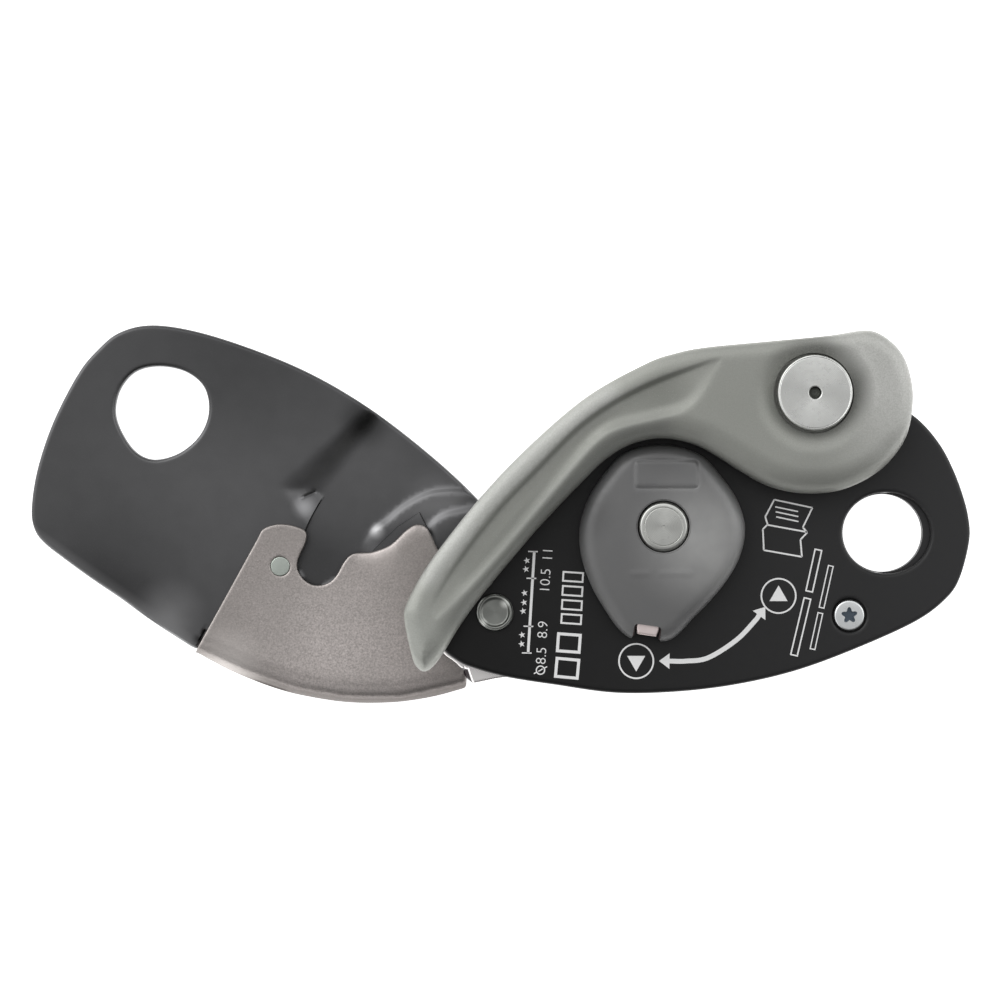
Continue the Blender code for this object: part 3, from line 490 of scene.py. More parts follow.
class Look:
    """A small builder for node materials; lengths in its textures are millimetres."""

    def __init__(self, name, rgb, metallic, rough):
        self.material = bpy.data.materials.new(name)
        self.material.use_nodes = True
        self.tree = self.material.node_tree
        self.shader = self.tree.nodes["Principled BSDF"]
        self.shader.inputs["Metallic"].default_value = metallic
        self.shader.inputs["Roughness"].default_value = rough
        self.shader.inputs["Base Color"].default_value = (*[linear(c) for c in rgb], 1)
        self.colour = self.value_node("ShaderNodeRGB")
        self.colour.outputs[0].default_value = (*[linear(c) for c in rgb], 1)
        self.colour_out = self.colour.outputs[0]
        self.rough = rough
        self.rough_out = None
        self.bump_out = None
        coord = self.value_node("ShaderNodeTexCoord")
        scale = self.value_node("ShaderNodeMapping")
        scale.inputs["Scale"].default_value = (1000, 1000, 1000)
        self.link(coord.outputs["Object"], scale.inputs["Vector"])
        self.mm = scale.outputs["Vector"]

    def value_node(self, kind, **settings):
        node = self.tree.nodes.new(kind)
        for key, setting in settings.items():
            setattr(node, key, setting)
        return node

    def link(self, a, b):
        self.tree.links.new(a, b)

    def stretched(self, scale, turn=0.0):
        node = self.value_node("ShaderNodeMapping")
        node.inputs["Scale"].default_value = scale
        node.inputs["Rotation"].default_value = (0, 0, math.radians(turn))
        self.link(self.mm, node.inputs["Vector"])
        return node.outputs["Vector"]

    def noise(self, scale, detail=3, rough=0.55, vector=None):
        node = self.value_node("ShaderNodeTexNoise")
        node.inputs["Scale"].default_value = scale
        node.inputs["Detail"].default_value = detail
        node.inputs["Roughness"].default_value = rough
        self.link(vector or self.mm, node.inputs["Vector"])
        return node.outputs["Fac"]

    def remap(self, source, a, b, c, d):
        node = self.value_node("ShaderNodeMapRange")
        for name, v in (("From Min", a), ("From Max", b), ("To Min", c), ("To Max", d)):
            node.inputs[name].default_value = v
        self.link(source, node.inputs["Value"])
        return node.outputs["Result"]

    def across(self, start, end):
        """0 at the point start, 1 at the point end, in mm."""
        (ax, ay), (bx, by) = start, end
        length2 = (bx - ax) ** 2 + (by - ay) ** 2
        node = self.value_node("ShaderNodeVectorMath", operation="DOT_PRODUCT")
        self.link(self.mm, node.inputs[0])
        node.inputs[1].default_value = ((bx - ax) / length2, (by - ay) / length2, 0)
        shift = self.value_node("ShaderNodeMath", operation="SUBTRACT", use_clamp=True)
        self.link(node.outputs["Value"], shift.inputs[0])
        shift.inputs[1].default_value = (ax * (bx - ax) + ay * (by - ay)) / length2
        return shift.outputs[0]

    def height(self, top, low, strength=1.0):
        """0 down to the level top, then rising to strength at the level low, in mm."""
        split = self.value_node("ShaderNodeSeparateXYZ")
        self.link(self.mm, split.inputs[0])
        return self.remap(split.outputs["Z"], top, low, 0, strength)

    def near(self, spot, reach, strength=1.0, start=0.0):
        """strength within start mm of the spot, fading smoothly to 0 at reach mm from it."""
        node = self.value_node("ShaderNodeVectorMath", operation="DISTANCE")
        flat = self.value_node("ShaderNodeVectorMath", operation="MULTIPLY")
        self.link(self.mm, flat.inputs[0])
        flat.inputs[1].default_value = (1, 1, 0)
        self.link(flat.outputs[0], node.inputs[0])
        node.inputs[1].default_value = (*spot, 0)
        ramp = self.value_node("ShaderNodeMapRange", interpolation_type="SMOOTHSTEP")
        ramp.inputs["From Min"].default_value, ramp.inputs["From Max"].default_value = start, reach
        ramp.inputs["To Min"].default_value, ramp.inputs["To Max"].default_value = strength, 0
        self.link(node.outputs["Value"], ramp.inputs["Value"])
        return ramp.outputs["Result"]

    def band(self, points, reach, strength, rgb):
        """An even, soft-edged stripe of colour along a line."""
        for spot in spaced(points, reach * 0.75):
            self.tint(self.near(spot, reach, strength * 0.8), rgb)
        return self

    def tint(self, factor, rgb, kind="MIX"):
        node = self.value_node("ShaderNodeMix", data_type="RGBA", blend_type=kind)
        self.link(factor, node.inputs["Factor"])
        self.link(self.colour_out, node.inputs["A"])
        node.inputs["B"].default_value = (*[linear(c) for c in rgb], 1)
        self.colour_out = node.outputs["Result"]
        return self

    def roughness(self, factor, low, high):
        self.rough_out = self.remap(factor, 0.3, 0.7, low, high)
        return self

    def bump(self, height, distance_mm, strength=1.0):
        node = self.value_node("ShaderNodeBump")
        node.inputs["Strength"].default_value = strength
        node.inputs["Distance"].default_value = distance_mm * MM
        self.link(height, node.inputs["Height"])
        if self.bump_out:
            self.link(self.bump_out, node.inputs["Normal"])
        self.bump_out = node.outputs["Normal"]
        return self

    def rings(self, scale, distortion=0.0):
        node = self.value_node("ShaderNodeTexWave", wave_type="RINGS", rings_direction="Z", wave_profile="SIN")
        node.inputs["Scale"].default_value = scale
        node.inputs["Distortion"].default_value = distortion
        node.inputs["Detail"].default_value = 2
        self.link(self.mm, node.inputs["Vector"])
        return node.outputs["Fac"]

    def done(self, **inputs):
        self.link(self.colour_out, self.shader.inputs["Base Color"])
        if self.rough_out:
            self.link(self.rough_out, self.shader.inputs["Roughness"])
        if self.bump_out:
            self.link(self.bump_out, self.shader.inputs["Normal"])
        for key, setting in inputs.items():
            self.shader.inputs[key.replace("_", " ")].default_value = setting
        return self.material


def black_look():
    k = Look("black_anodised", (4, 4, 4), 0.0, 0.4)
    # painted sheen: the black plate is lightened towards its right end
    k.tint(k.across((-40, -10), (64, 8)), (43, 43, 44))
    k.roughness(k.noise(0.6, 4), 0.36, 0.46)
    k.bump(k.noise(5.5, 2), 0.012)
    return k.done(Specular_IOR_Level=0.32)


def dark_look():
    k = Look("dark_grey_anodised", (92, 92, 93), 1.0, 0.34)
    # painted reflection and shade: lighter patches over the middle of the plate, darker ones at its top, its lower left
    # and in the channel beside the wear plate
    k.tint(k.near((-92, 9), 42, 0.8), (108, 108, 109))
    k.tint(k.near((-60, 12), 18, 0.6), (112, 112, 113))
    k.tint(k.near((-118, -12), 26, 0.55), (74, 74, 75))
    k.tint(k.near((-92, 36), 30, 0.6), (76, 76, 77))
    k.tint(k.near((-73, -8), 12, 0.6), (66, 66, 67))
    # painted highlight on the flared lower-left edge
    k.tint(k.near((-105.5, -19.5), 9.5, 0.75), (150, 150, 151))
    # painted highlight on the bright facet beside the lance crease
    k.tint(k.near((-76.4, 4.0), 3.4, 0.6), (176, 176, 178))
    # painted shade: near-black under the wear plate's lower-left corner
    k.tint(k.near((-99.4, -25.2), 2.2, 1.0), (6, 6, 6))
    # painted shade on the upper end of the dark ramp
    k.tint(k.near((-63.4, 22.2), 7, 0.75), (30, 30, 30))
    # painted highlights: the stepped ribs by the pivot are lightened along their band and at their white tip
    k.tint(k.near((-47.5, 5.2), 10, 0.6), (138, 138, 139))
    k.tint(k.near((-60.6, -1.2), 2.4, 0.7), (186, 186, 187))
    k.band([(-57.7, 1.2), (-53.9, 3.0), (-50.2, 3.9), (-42.8, 4.9)], 3.2, 0.2, (160, 160, 161))
    # painted highlight: lighter strip along the flared lower-left border
    k.tint(k.remap(k.across((-110.05, -15.6), (-112, -18.4)), 0.3, 1, 0, 0.6), (142, 142, 143))
    k.tint(k.remap(k.noise(7, 2), 0.55, 0.8, 0, 0.25), (128, 128, 130))
    k.roughness(k.noise(0.25, 3), 0.32, 0.4)
    k.bump(k.noise(6, 2), 0.006)
    return k.done()


def steel_look():
    k = Look("brushed_stainless", (182, 175, 172), 1.0, 0.4)
    # painted sheen: the wear plate is lighter over its middle
    k.tint(k.near((-68, -25), 28, 0.95), (238, 229, 226))
    k.tint(k.remap(k.noise(2.4, 4, 0.7), 0.35, 0.7, 0, 0.85), (152, 146, 143))
    k.tint(k.remap(k.noise(4.5, 2), 0.58, 0.72, 0, 0.5), (218, 209, 205))
    k.tint(k.remap(k.noise(0.06, 2), 0.35, 0.7, 0, 0.3), (160, 156, 152))
    # painted shade on the lip bent away below the face and on the lower edges
    k.tint(k.height(2.95, 1.6, 0.8), (104, 99, 96))
    # painted highlights on the lip's left end and on the hump's rolled edge
    k.tint(k.near((-93, -30), 11, 0.6), (232, 226, 222))
    k.tint(k.near((-60, -6.2), 6, 0.45), (222, 214, 210))
    k.roughness(k.noise(3.0, 3), 0.34, 0.5)
    k.bump(k.noise(3.2, 3, 0.6), 0.03)
    return k.done()


def polished_look(name, rgb, rough=0.2):
    k = Look(name, rgb, 1.0, rough)
    k.roughness(k.noise(0.5, 3), rough * 0.85, rough * 1.25)
    k.bump(k.noise(1.2, 2, vector=k.stretched((0.3, 6, 6), 20)), 0.006)
    return k.done()


def shoe_look():
    k = Look("shoe_stainless", (250, 247, 246), 1.0, 0.26)
    # painted shade on the ground facet and on the sides below the top face
    k.tint(k.height(15.3, 15.0, 1.0), (38, 32, 34))
    k.roughness(k.noise(0.5, 3), 0.22, 0.34)
    k.bump(k.noise(1.2, 2, vector=k.stretched((0.3, 6, 6), 20)), 0.006)
    return k.done()


def handle_look():
    k = Look("handle_grey", (160, 161, 156), 0.6, 0.42)
    # painted reflection lightening the lobe's outer end, painted shade in the dish round the pin head, painted
    # highlight on the tip facet
    k.tint(k.near((47, 31), 27, 0.95), (206, 206, 203))
    k.tint(k.near((PIN[0] + 0.8, PIN[1] + 0.9), 12.6, 0.8, 7.6), (58, 59, 56))
    k.tint(k.near((-52, -22), 12, 0.6), (180, 182, 177))
    # painted shade along the lower-right rounded side, painted highlight along the upper-left rim, painted shade along
    # the finger groove's floor
    k.band([(-43.5, -20), (-33.8, -8.2), (-24.2, 3.4), (-14.4, 14.6), (-8.4, 18.8), (-1, 20.6)], 5.0, 0.5, (110, 111, 110))
    k.band([(-48.5, -10.5), (-44.5, -4.6), (-36.6, 5.3), (-27.6, 14.5), (-17.3, 23.7), (-9, 28.8)], 4.2, 0.42, (212, 212, 211))
    k.band([(-40, -9.5), (-33, -0.5), (-22.8, 11.6), (-13, 22), (-3, 26.6), (5, 29.5)], 4.4, 0.26, (108, 110, 104))
    # painted shade near the groove's upper end and along the lobe's lower edge, painted highlight on the lobe's top
    k.tint(k.near((0, 27), 8, 0.35), (100, 102, 96))
    k.tint(k.near((40, 37.5), 8, 0.5), (224, 224, 221))
    k.tint(k.near((31, 12.0), 8, 0.35), (138, 139, 135))
    k.tint(k.remap(k.noise(3.2, 4, 0.7), 0.35, 0.7, 0, 0.5), (142, 144, 137))
    k.tint(k.remap(k.noise(6.5, 2), 0.58, 0.75, 0, 0.4), (190, 191, 185))
    k.tint(k.remap(k.noise(0.05, 2), 0.35, 0.7, 0, 0.25), (146, 148, 141))
    k.roughness(k.noise(2.2, 3), 0.42, 0.54)
    k.bump(k.noise(4.2, 3, 0.6), 0.022)
    return k.done()


def knob_look():
    k = Look("knob_grey", (112, 112, 112), 0.4, 0.4)
    # painted highlight over the middle of the knob, painted shadow of the handle across its top, painted shade on its
    # left side
    k.tint(k.near((8, -3), 17, 0.9), (170, 170, 169))
    k.tint(k.near((-1, 18), 9, 0.52), (70, 70, 70))
    k.tint(k.near((-17.5, 3), 9, 0.6), (70, 70, 70))
    k.tint(k.remap(k.noise(0.15, 2), 0.35, 0.7, 0, 0.25), (104, 105, 106))
    k.roughness(k.noise(1.0, 3), 0.38, 0.48)
    k.bump(k.noise(8, 2), 0.008)
    return k.done()


def turned_look(name, rgb, rough, pitch, depth, painted_glints=()):
    """Lathe-finished face: fine rings round the piece's own axis and a radial sheen."""
    k = Look(name, rgb, 1.0, rough)
    k.tint(k.remap(k.noise(0.3, 2), 0.35, 0.7, 0, 0.35), tuple(c * 0.9 for c in rgb))
    k.roughness(k.noise(1.2, 3), rough * 0.85, rough * 1.2)
    k.tint(k.remap(k.rings(pitch, 0.0), 0.2, 1, 0, depth), tuple(c * 0.72 for c in rgb))
    # painted glints: light spots mixed into the colour
    for spot, reach in painted_glints:
        k.tint(k.near(spot, reach, 0.9), (236, 238, 233))
    tangent = k.value_node("ShaderNodeTangent", direction_type="RADIAL", axis="Z")
    k.link(tangent.outputs[0], k.shader.inputs["Tangent"])
    return k.done(Anisotropic=0.75)


def print_look():
    k = Look("white_print", (236, 236, 236), 0.0, 0.55)
    k.tint(k.remap(k.noise(4, 3), 0.5, 0.8, 0, 0.4), (212, 212, 212))
    k.bump(k.noise(6, 2), 0.004)
    return k.done()


BLACK, DARK, STEEL = black_look(), dark_look(), steel_look()
POLISHED = polished_look("polished_stainless", (214, 209, 207))
SHOE_LOOK = shoe_look()
HANDLE, KNOB = handle_look(), knob_look()
TURNED = turned_look("turned_zinc", (234, 235, 232), 0.3, 1.1, 0.14)
AXLE_LOOK = turned_look("turned_axle", (208, 209, 205), 0.32, 1.0, 0.2)
# the rivet's two painted glints stand in for the bright crescents of its rim
RIVET_LOOK = turned_look("rivet_aluminium", (142, 144, 140), 0.34, 0.9, 0.2, (((2.15, 1.9), 1.5), ((-2.7, -2.4), 1.5)))
PLUG_LOOK = polished_look("rivet_plug", (186, 193, 186), 0.45)
SCREW_LOOK = polished_look("zinc_screw", (240, 243, 244), 0.3)
# painted shade for the floor of the pin's centre hole
PIN_PIT_SHADE = polished_look("pin_centre_painted_shade", (84, 86, 82), 0.5)
# painted shade for the floor of the screw's driver recess
RECESS_SHADE = polished_look("screw_recess_painted_shade", (92, 102, 112), 0.4)
BUTTON_LOOK = polished_look("plated_button", (240, 226, 224), 0.38)
SPRING = polished_look("spring_steel", (150, 150, 152), 0.3)
BRONZE = polished_look("bearing_bronze", (176, 132, 82), 0.4)
PRINT = print_look()
# painted shade: dark red-black for liners on the button notch's walls
NOTCH_SHADE = Look("notch_painted_shade", (44, 30, 30), 0.0, 0.6)
NOTCH_SHADE.bump(NOTCH_SHADE.noise(5, 2), 0.01)
NOTCH_SHADE = NOTCH_SHADE.done()

# ---------------------------------------------------------------- fixed side plate
fixed_ring = smooth_ring(FIXED_OUTLINE, 0.5, 4)
plate = slab(
    "plate_fixed",
    fixed_ring,
    [
        circle(CARABINER_FIXED, CARABINER_FIXED_R[0], 0.45, CARABINER_FIXED_R[1]),
        circle(PIVOT, 2.8, 0.5), circle((0, 0), 4.5, 0.6), circle(PIN, 5.6, 0.6), circle(SHOE_RIVET, 2.1, 0.5),
        circle(STOP, 3.4, 0.4),
    ],
    lambda p, d: np.full(len(p), FACE),
    lambda p, d: np.full(len(p), Z_FIXED[0]),
    0.9,
    0.6,
    3.0,
    BLACK,
)
place(plate, "frame", "black_anodised", "fixed_side_plate")

# the hole's thick far wall
place(
    flat_slab(
        "carabiner_hole_wall",
        circle(CARABINER_FIXED, CARABINER_FIXED_R[0] - 0.04, 0.45, CARABINER_FIXED_R[1] - 0.04),
        [circle((CARABINER_FIXED[0] - 0.68, CARABINER_FIXED[1]), CARABINER_FIXED_R[0] - 0.86, 0.45, CARABINER_FIXED_R[1] - 0.3)],
        Z_FIXED[0] + 0.3, FACE - 1.3, 0.0, BLACK, 6.0,
    ),
    "frame", "black_anodised",
)

# countersink cup that the stop screw sits in
cup = lathe(
    "stop_countersink_cup",
    [(3.38, FACE - 0.12, 0.1), (3.38, FACE - 0.9), (1.9, FACE - 2.4), (1.9, FACE - 3.9), (1.65, FACE - 3.9), (1.65, FACE - 2.3), (3.2, FACE - 0.8), (3.26, FACE - 0.12)],
    STOP, BLACK, 72, loop=True,
)
place(cup, "frame", "black_anodised")

# ---------------------------------------------------------------- friction shoe
shoe_points = [
    (-47.6, -24.0), (-45.9, -26.95), (-43.7, -28.6), (-41.9, -30.3, "c"), (-41.5, -31.9), (-39.6, -33.35, "c"), (-34.0, -32.2), (-29.0, -31.9), (-24.5, -31.2, "c"),
    *[tuple(q) for q in arc((0, 0), 29.0, 230, 203, 5)],
    (-27.8, -8.6, "c"), (-33.0, -5.6), (-38.6, -5.4), (-42.6, -9.6), (-45.4, -16.0),
]


def shoe_top(p, d):
    """The lower left corner is ground away to a steep facet."""
    side = (p[:, 0] + 40.7) + (p[:, 1] + 29.6) / 3
    return Z_SHOE[1] - 1.4 * np.clip(-side, 0, 1.2) * step_up(-p[:, 1], 29.8, 30.6)


shoe = slab(
    "shoe",
    smooth_ring(shoe_points, 0.4, 1),
    [circle(PIVOT, 2.8, 0.5), circle(SHOE_RIVET, 2.1, 0.5)],
    shoe_top,
    lambda p, d: np.full(len(p), Z_SHOE[0]),
    0.5, 0.5, 2.0, SHOE_LOOK, guides=[np.column_stack([np.linspace(-40.7, -39.7, 9), np.linspace(-29.6, -32.6, 9)])],
)
place(shoe, "frame", "polished_stainless", "friction_shoe")
place(
    lathe("shoe_rivet_fine", [(0, 21.0), (2.2, 20.9, 0.3), (3.1, 20.25, 0.15), (1.8, 20.2), (1.8, 3.7, 0.2), (0, 3.7)], SHOE_RIVET, RIVET_LOOK, 64),
    "frame", "bare_aluminium", "shoe_rivet",
)

# ---------------------------------------------------------------- pivot rivet, washer, axle, stop
place(
    lathe(
        "pivot_rivet_fine",
        [
            (0, 20.95), (2.7, 20.98, 0.25), (3.15, 21.4, 0.2), (3.42, 21.4, 0.15), (3.93, 20.85, 0.25), (3.93, 20.2, 0.05), (2.5, 20.2),
            (2.5, -2.05), (3.6, -2.05, 0.2), (3.6, -2.75, 0.3), (0, -2.75),
        ],
        PIVOT, RIVET_LOOK, 96,
    ),
    "frame", "bare_aluminium", "pivot_rivet",
)
place(
    lathe("pivot_wave_washer_fine", [(5.2, -1.1, 0.12), (5.2, -1.75, 0.12), (2.8, -1.75, 0.12), (2.8, -1.1, 0.12)], PIVOT, SPRING, 72, loop=True),
    "frame", "spring_steel", "pivot_wave_washer",
)
place(
    lathe(
        "cam_axle_fine",
        [
            (0, 26.28), (0.22, 26.34), (0.3, 26.46), (3.9, 26.46, 0.08), (4.0, 26.36, 0.05), (4.12, 26.5, 0.05), (4.75, 26.42, 0.2), (5.2, 25.9, 0.2),
            (5.2, 23.3, 0.1), (4.2, 23.3), (4.2, 3.4, 0.2), (3.9, 3.4), (3.9, 1.6), (4.75, 1.6, 0.2), (4.75, 0.5, 0.15), (4.2, 0, 0.1), (0, 0),
        ],
        (0, 0), AXLE_LOOK, 112,
    ),
    "frame", "plated_steel", "cam_axle",
)
place(
    tube(
        "cam_return_spring_fine",
        [(*polar((0, 0), 8.2, -20), 11.9), (*polar((0, 0), 7.5, -10), 11.9)] + coil((0, 0), 7.1, 11.9, 14.6, 2.5, 0)
        + [(*polar((0, 0), 7.5, 190), 14.6), (*polar((0, 0), 8.2, 200), 14.6)],
        0.5, SPRING,
    ),
    "frame", "spring_steel", "cam_return_spring",
)
place(
    lathe("stop_post_fine", [(4.2, 15.6, 0.4), (4.2, 3.8, 0.5), (3.0, 3.8, 0.2), (3.0, 5.2), (2.0, 5.2), (2.0, 15.6)], STOP, STEEL, 80, loop=True),
    "frame", "brushed_stainless", "stop_post",
)


def star(centre, big, small, points, turn=0.0, per=4):
    """A lobed star outline, for the screw's driver recess."""
    out = []
    for k in range(points * per * 2):
        a = 2 * math.pi * k / (points * per * 2)
        r = (big + small) / 2 + (big - small) / 2 * math.cos(points * a)
        out.append((centre[0] + r * math.cos(a + turn), centre[1] + r * math.sin(a + turn)))
    return np.array(out)


screw = lathe(
    "stop_screw_fine",
    [(0, 19.85), (2.95, 19.85, 0.25), (3.22, 19.6, 0.1), (1.6, 18.0), (1.6, 6.2), (1.2, 5.8), (0, 5.8)], STOP, SCREW_LOOK, 72,
)
recess = flat_slab("screw_recess", star((0, 0), 1.75, 1.0, 5, 0.35), [], 18.7, 20.4, 0.0, SCREW_LOOK, 0.8)
recess.location = (STOP[0] * MM, STOP[1] * MM, 0)
bpy.context.view_layer.update()
combine(screw, recess, "DIFFERENCE")
place(screw, "frame", "plated_steel", "stop_screw")
# the recess floor is coloured dark: painted shade in the driver recess
driver_floor = flat_slab("screw_recess_floor", star((0, 0), 1.72, 0.97, 5, 0.35), [], 18.62, 18.95, 0.0, RECESS_SHADE, 0.8)
driver_floor.location = (STOP[0] * MM, STOP[1] * MM, 0)
place(driver_floor, "frame", "plated_steel")
place(
    lathe("handle_bushing_fine", [(5.3, 19.8, 0.2), (5.3, 15.6), (7.2, 15.6, 0.2), (7.2, 14.9, 0.2), (4.3, 14.9, 0.2), (4.3, 19.8, 0.2)], PIN, BRONZE, 80, loop=True),
    "frame", "bearing_bronze", "handle_bushing",
)

# ---------------------------------------------------------------- moving side plate: channel, ramp, ribs, tab, flared edge
NOTCH = polar(PIVOT, math.hypot(*PIVOT), math.degrees(math.atan2(-PIVOT[1], -PIVOT[0])) + 138.5)
CHANNEL_R = 44.45
CORNER_DEG = 146.9
RAMP_A, RAMP_B = np.array((-62.1, 23.7)), np.array((-76.8, 8.1))
MID = smooth_ring([
    (-64.8, -5.6), (-62.7, -2.6), (-61.3, -0.7), (-58.5, 1.2), (-54.8, 4.3), (-50.2, 6.8), (-46.3, 7.6), (-41.4, 7.5), (-30, 5.6), (-20, -5), (-20, -30), (-60, -13),
], 0.6)
INNER = smooth_ring([(-49.9, -0.6), (-46.3, 2.3), (-42.2, 3.4), (-38, 4.1), (-30, 3.5), (-20, -5), (-20, -30), (-50, -20), (-52, -6)], 0.6)
TAB = evenly(np.array([(-51.45, 2.85), (-56.1, -0.2), (-61.4, -5.3), (-64.5, -10), (-64, -20), (-40, -20), (-42.5, -14), (-46.9, -6.1)]), 0.35)
CAP = circle(NOTCH, 5.1, 0.5)
CREASE = np.array([(-77.4, 5.7), (-75.3, 6.7), (-73.1, 7.7)])
FOLD = evenly(np.array([(-100.7, -27.6), (-100.2, -26.0), (-98.0, -22.4), (-94.6, -24.0), (-97.0, -28.5)]), 0.3)


def moving_drop(p):
    """Depth below the high zones, negative downwards."""
    rel = p - np.array(PIVOT)
    rho, az = np.hypot(rel[:, 0], rel[:, 1]), np.degrees(np.arctan2(rel[:, 1], rel[:, 0])) % 360
    line = (RAMP_B - RAMP_A) / np.linalg.norm(RAMP_B - RAMP_A)
    across = np.array((-line[1], line[0]))
    q = (p - RAMP_A) @ across
    down = np.clip((p - RAMP_A) @ line / np.linalg.norm(RAMP_B - RAMP_A), 0, 1)
    half = 2.0 + 2.2 * down
    ramp = -2.0 * step_up(q / half, -1, 1)
    low_corner = np.array((-72.5, 6.4))
    u = np.array((-5.1, -3.7))
    t = ((p - low_corner) @ u) / (u @ u)
    facet = -1.9 * (1 - t)
    outside = np.maximum(ramp, np.minimum(facet, 0))
    along = (CREASE[2] - CREASE[0]) / np.linalg.norm(CREASE[2] - CREASE[0])
    rel_crease = p - CREASE[1]
    outside = outside - 0.45 * np.exp(-((rel_crease @ np.array((-along[1], along[0])) / 0.42) ** 2) - (rel_crease @ along / 2.0) ** 4)
    below = az > CORNER_DEG
    floor = -2.0 + 0.0 * rho
    # past the notch the channel ends in a half round
    past = (az > 165.7) & (az < 300)
    cap = -2.0 * step_up(signed(p, CAP), -0.25, 0.05)
    shear = step_up(CHANNEL_R - rho, -0.12, 0.12)
    channel = np.where(below, outside * (1 - shear) + floor * shear, ramp)
    channel = np.where(past, cap, channel)
    # the inner side climbs to the pivot in two soft steps
    rise = 0.85 * step_up(signed(p, MID), -0.85, 0.95) * step_up(p[:, 0], -64.5, -59.5) + 0.8 * step_up(signed(p, INNER), -0.85, 0.95) * step_up(p[:, 0], -51.5, -47.5)
    climbs = (rho < CHANNEL_R - 2) & ~past
    channel = np.where(climbs, channel + rise, channel)
    tab = signed(p, TAB)
    channel = np.where(tab > -0.15, channel + (-0.35 - channel) * step_up(tab, -0.12, 0.12), channel)
    # the lower corner folds under the wear plate
    return np.minimum(channel, -1.9 * step_up(signed(p, FOLD), -0.25, 0.35))


def flare(p):
    a, b = np.array((-101.1, -26.3)), np.array((-130.0, -6.0))
    d = b - a
    length = np.linalg.norm(d)
    along = ((p - a) @ d) / length
    away = np.abs((p[:, 0] - a[0]) * d[1] - (p[:, 1] - a[1]) * d[0]) / length
    reach = np.maximum(0, 1 - away / 9.0)
    return -1.9 * reach * reach * step_up(length - along, 0.0, length * 0.8) * step_up(-p[:, 0], 92, 100)


def moving_top(p, d):
    return PLATE_TOP + np.minimum(moving_drop(p), flare(p))


shear_rows = [arc(PIVOT, r, 146, 168, 36) for r in (CHANNEL_R - 0.35, CHANNEL_R - 0.13, CHANNEL_R + 0.13, CHANNEL_R + 0.35)]
tab_rows = [inset(TAB, k) for k in (-0.3, -0.12, 0.12, 0.3)]
valley = [np.column_stack([np.linspace(-77.8, -72.8, 22) - 0.42 * k, np.linspace(5.6, 7.9, 22) + 0.9 * k]) for k in (-0.7, -0.35, 0, 0.35, 0.7)]
fold_rows = [inset(FOLD, k) for k in (-0.3, 0, 0.35)]
rib_rows = [r[(r[:, 0] < -36) & (r[:, 0] > -66) & (r[:, 1] > -7)] for r in [inset(MID, k) for k in (-0.6, -0.2, 0.25, 0.65)] + [inset(INNER, k) for k in (-0.65, -0.2, 0.25, 0.65)]]
moving_ring = smooth_ring(MOVING_OUTLINE, 0.5, 3)
moving = slab(
    "plate_moving",
    moving_ring,
    [smooth_ring(MOVING_HOLE, 0.45), circle(PIVOT, 2.9, 0.6), circle(RIVET_OUTER, 1.7, 0.5), circle(RIVET_INNER, 1.7, 0.5)],
    moving_top,
    lambda p, d: moving_top(p, d) - 2.5,
    0.85, 0.6, 0.85, DARK, guides=shear_rows + tab_rows + valley + fold_rows + rib_rows, angle=50,
)
place(moving, "side_plate", "dark_grey_anodised", "moving_side_plate")

# ---------------------------------------------------------------- steel wear plate
crease = np.array(WEAR_CREASE)
hump = np.array(WEAR_HUMP)
crease_fine = np.column_stack([
    np.interp(np.linspace(0, 5, 200), np.arange(6), crease[:, 0]), np.interp(np.linspace(0, 5, 200), np.arange(6), crease[:, 1])
])
for _ in range(60):
    crease_fine[1:-1] = 0.5 * crease_fine[1:-1] + 0.25 * (crease_fine[2:] + crease_fine[:-2])


def wear_top(p, d):
    away, index = nearest(p, crease_fine, False)
    a, b = crease_fine[index], crease_fine[index + 1]
    beyond = (b[:, 0] - a[:, 0]) * (p[:, 1] - a[:, 1]) - (b[:, 1] - a[:, 1]) * (p[:, 0] - a[:, 0]) < 0
    lip = np.where(beyond, -2.9 * (np.minimum(away, 4.5) / 3.2) ** 2, 0)
    groove = -0.2 * np.exp(-((away / 0.95) ** 2))
    bend, _ = nearest(p, hump, False)
    fold = -ellipse_drop(bend, 2.6, 0.62)
    return WEAR_TOP + np.maximum(-3.0, lip) + groove + fold


wear = slab(
    "wear_plate",
    smooth_ring(WEAR_OUTLINE, 0.4, 2),
    [circle(PIVOT, 2.9, 0.6), circle(RIVET_OUTER, 2.06, 0.35), circle(RIVET_INNER, 2.06, 0.35)],
    wear_top,
    lambda p, d: wear_top(p, d) - 1.2,
    0.28, 0.28, 0.8, STEEL, offsets=(1.1, 1.6), angle=50,
)
place(wear, "side_plate", "brushed_stainless", "moving_wear_plate")
for node, spot in (("wear_plate_rivet_outer", RIVET_OUTER), ("wear_plate_rivet_inner", RIVET_INNER)):
    place(
        lathe(
            node + "_fine",
            [(0, 3.26), (1.9, 3.24, 0.1), (2.04, 3.16, 0.05), (2.04, 2.5), (1.4, 2.0), (1.4, -1.1), (2.0, -1.1, 0.2), (1.8, -1.7, 0.2), (0, -1.8)],
            spot, PLUG_LOOK, 64,
        ),
        "side_plate", "bare_aluminium", node,
    )

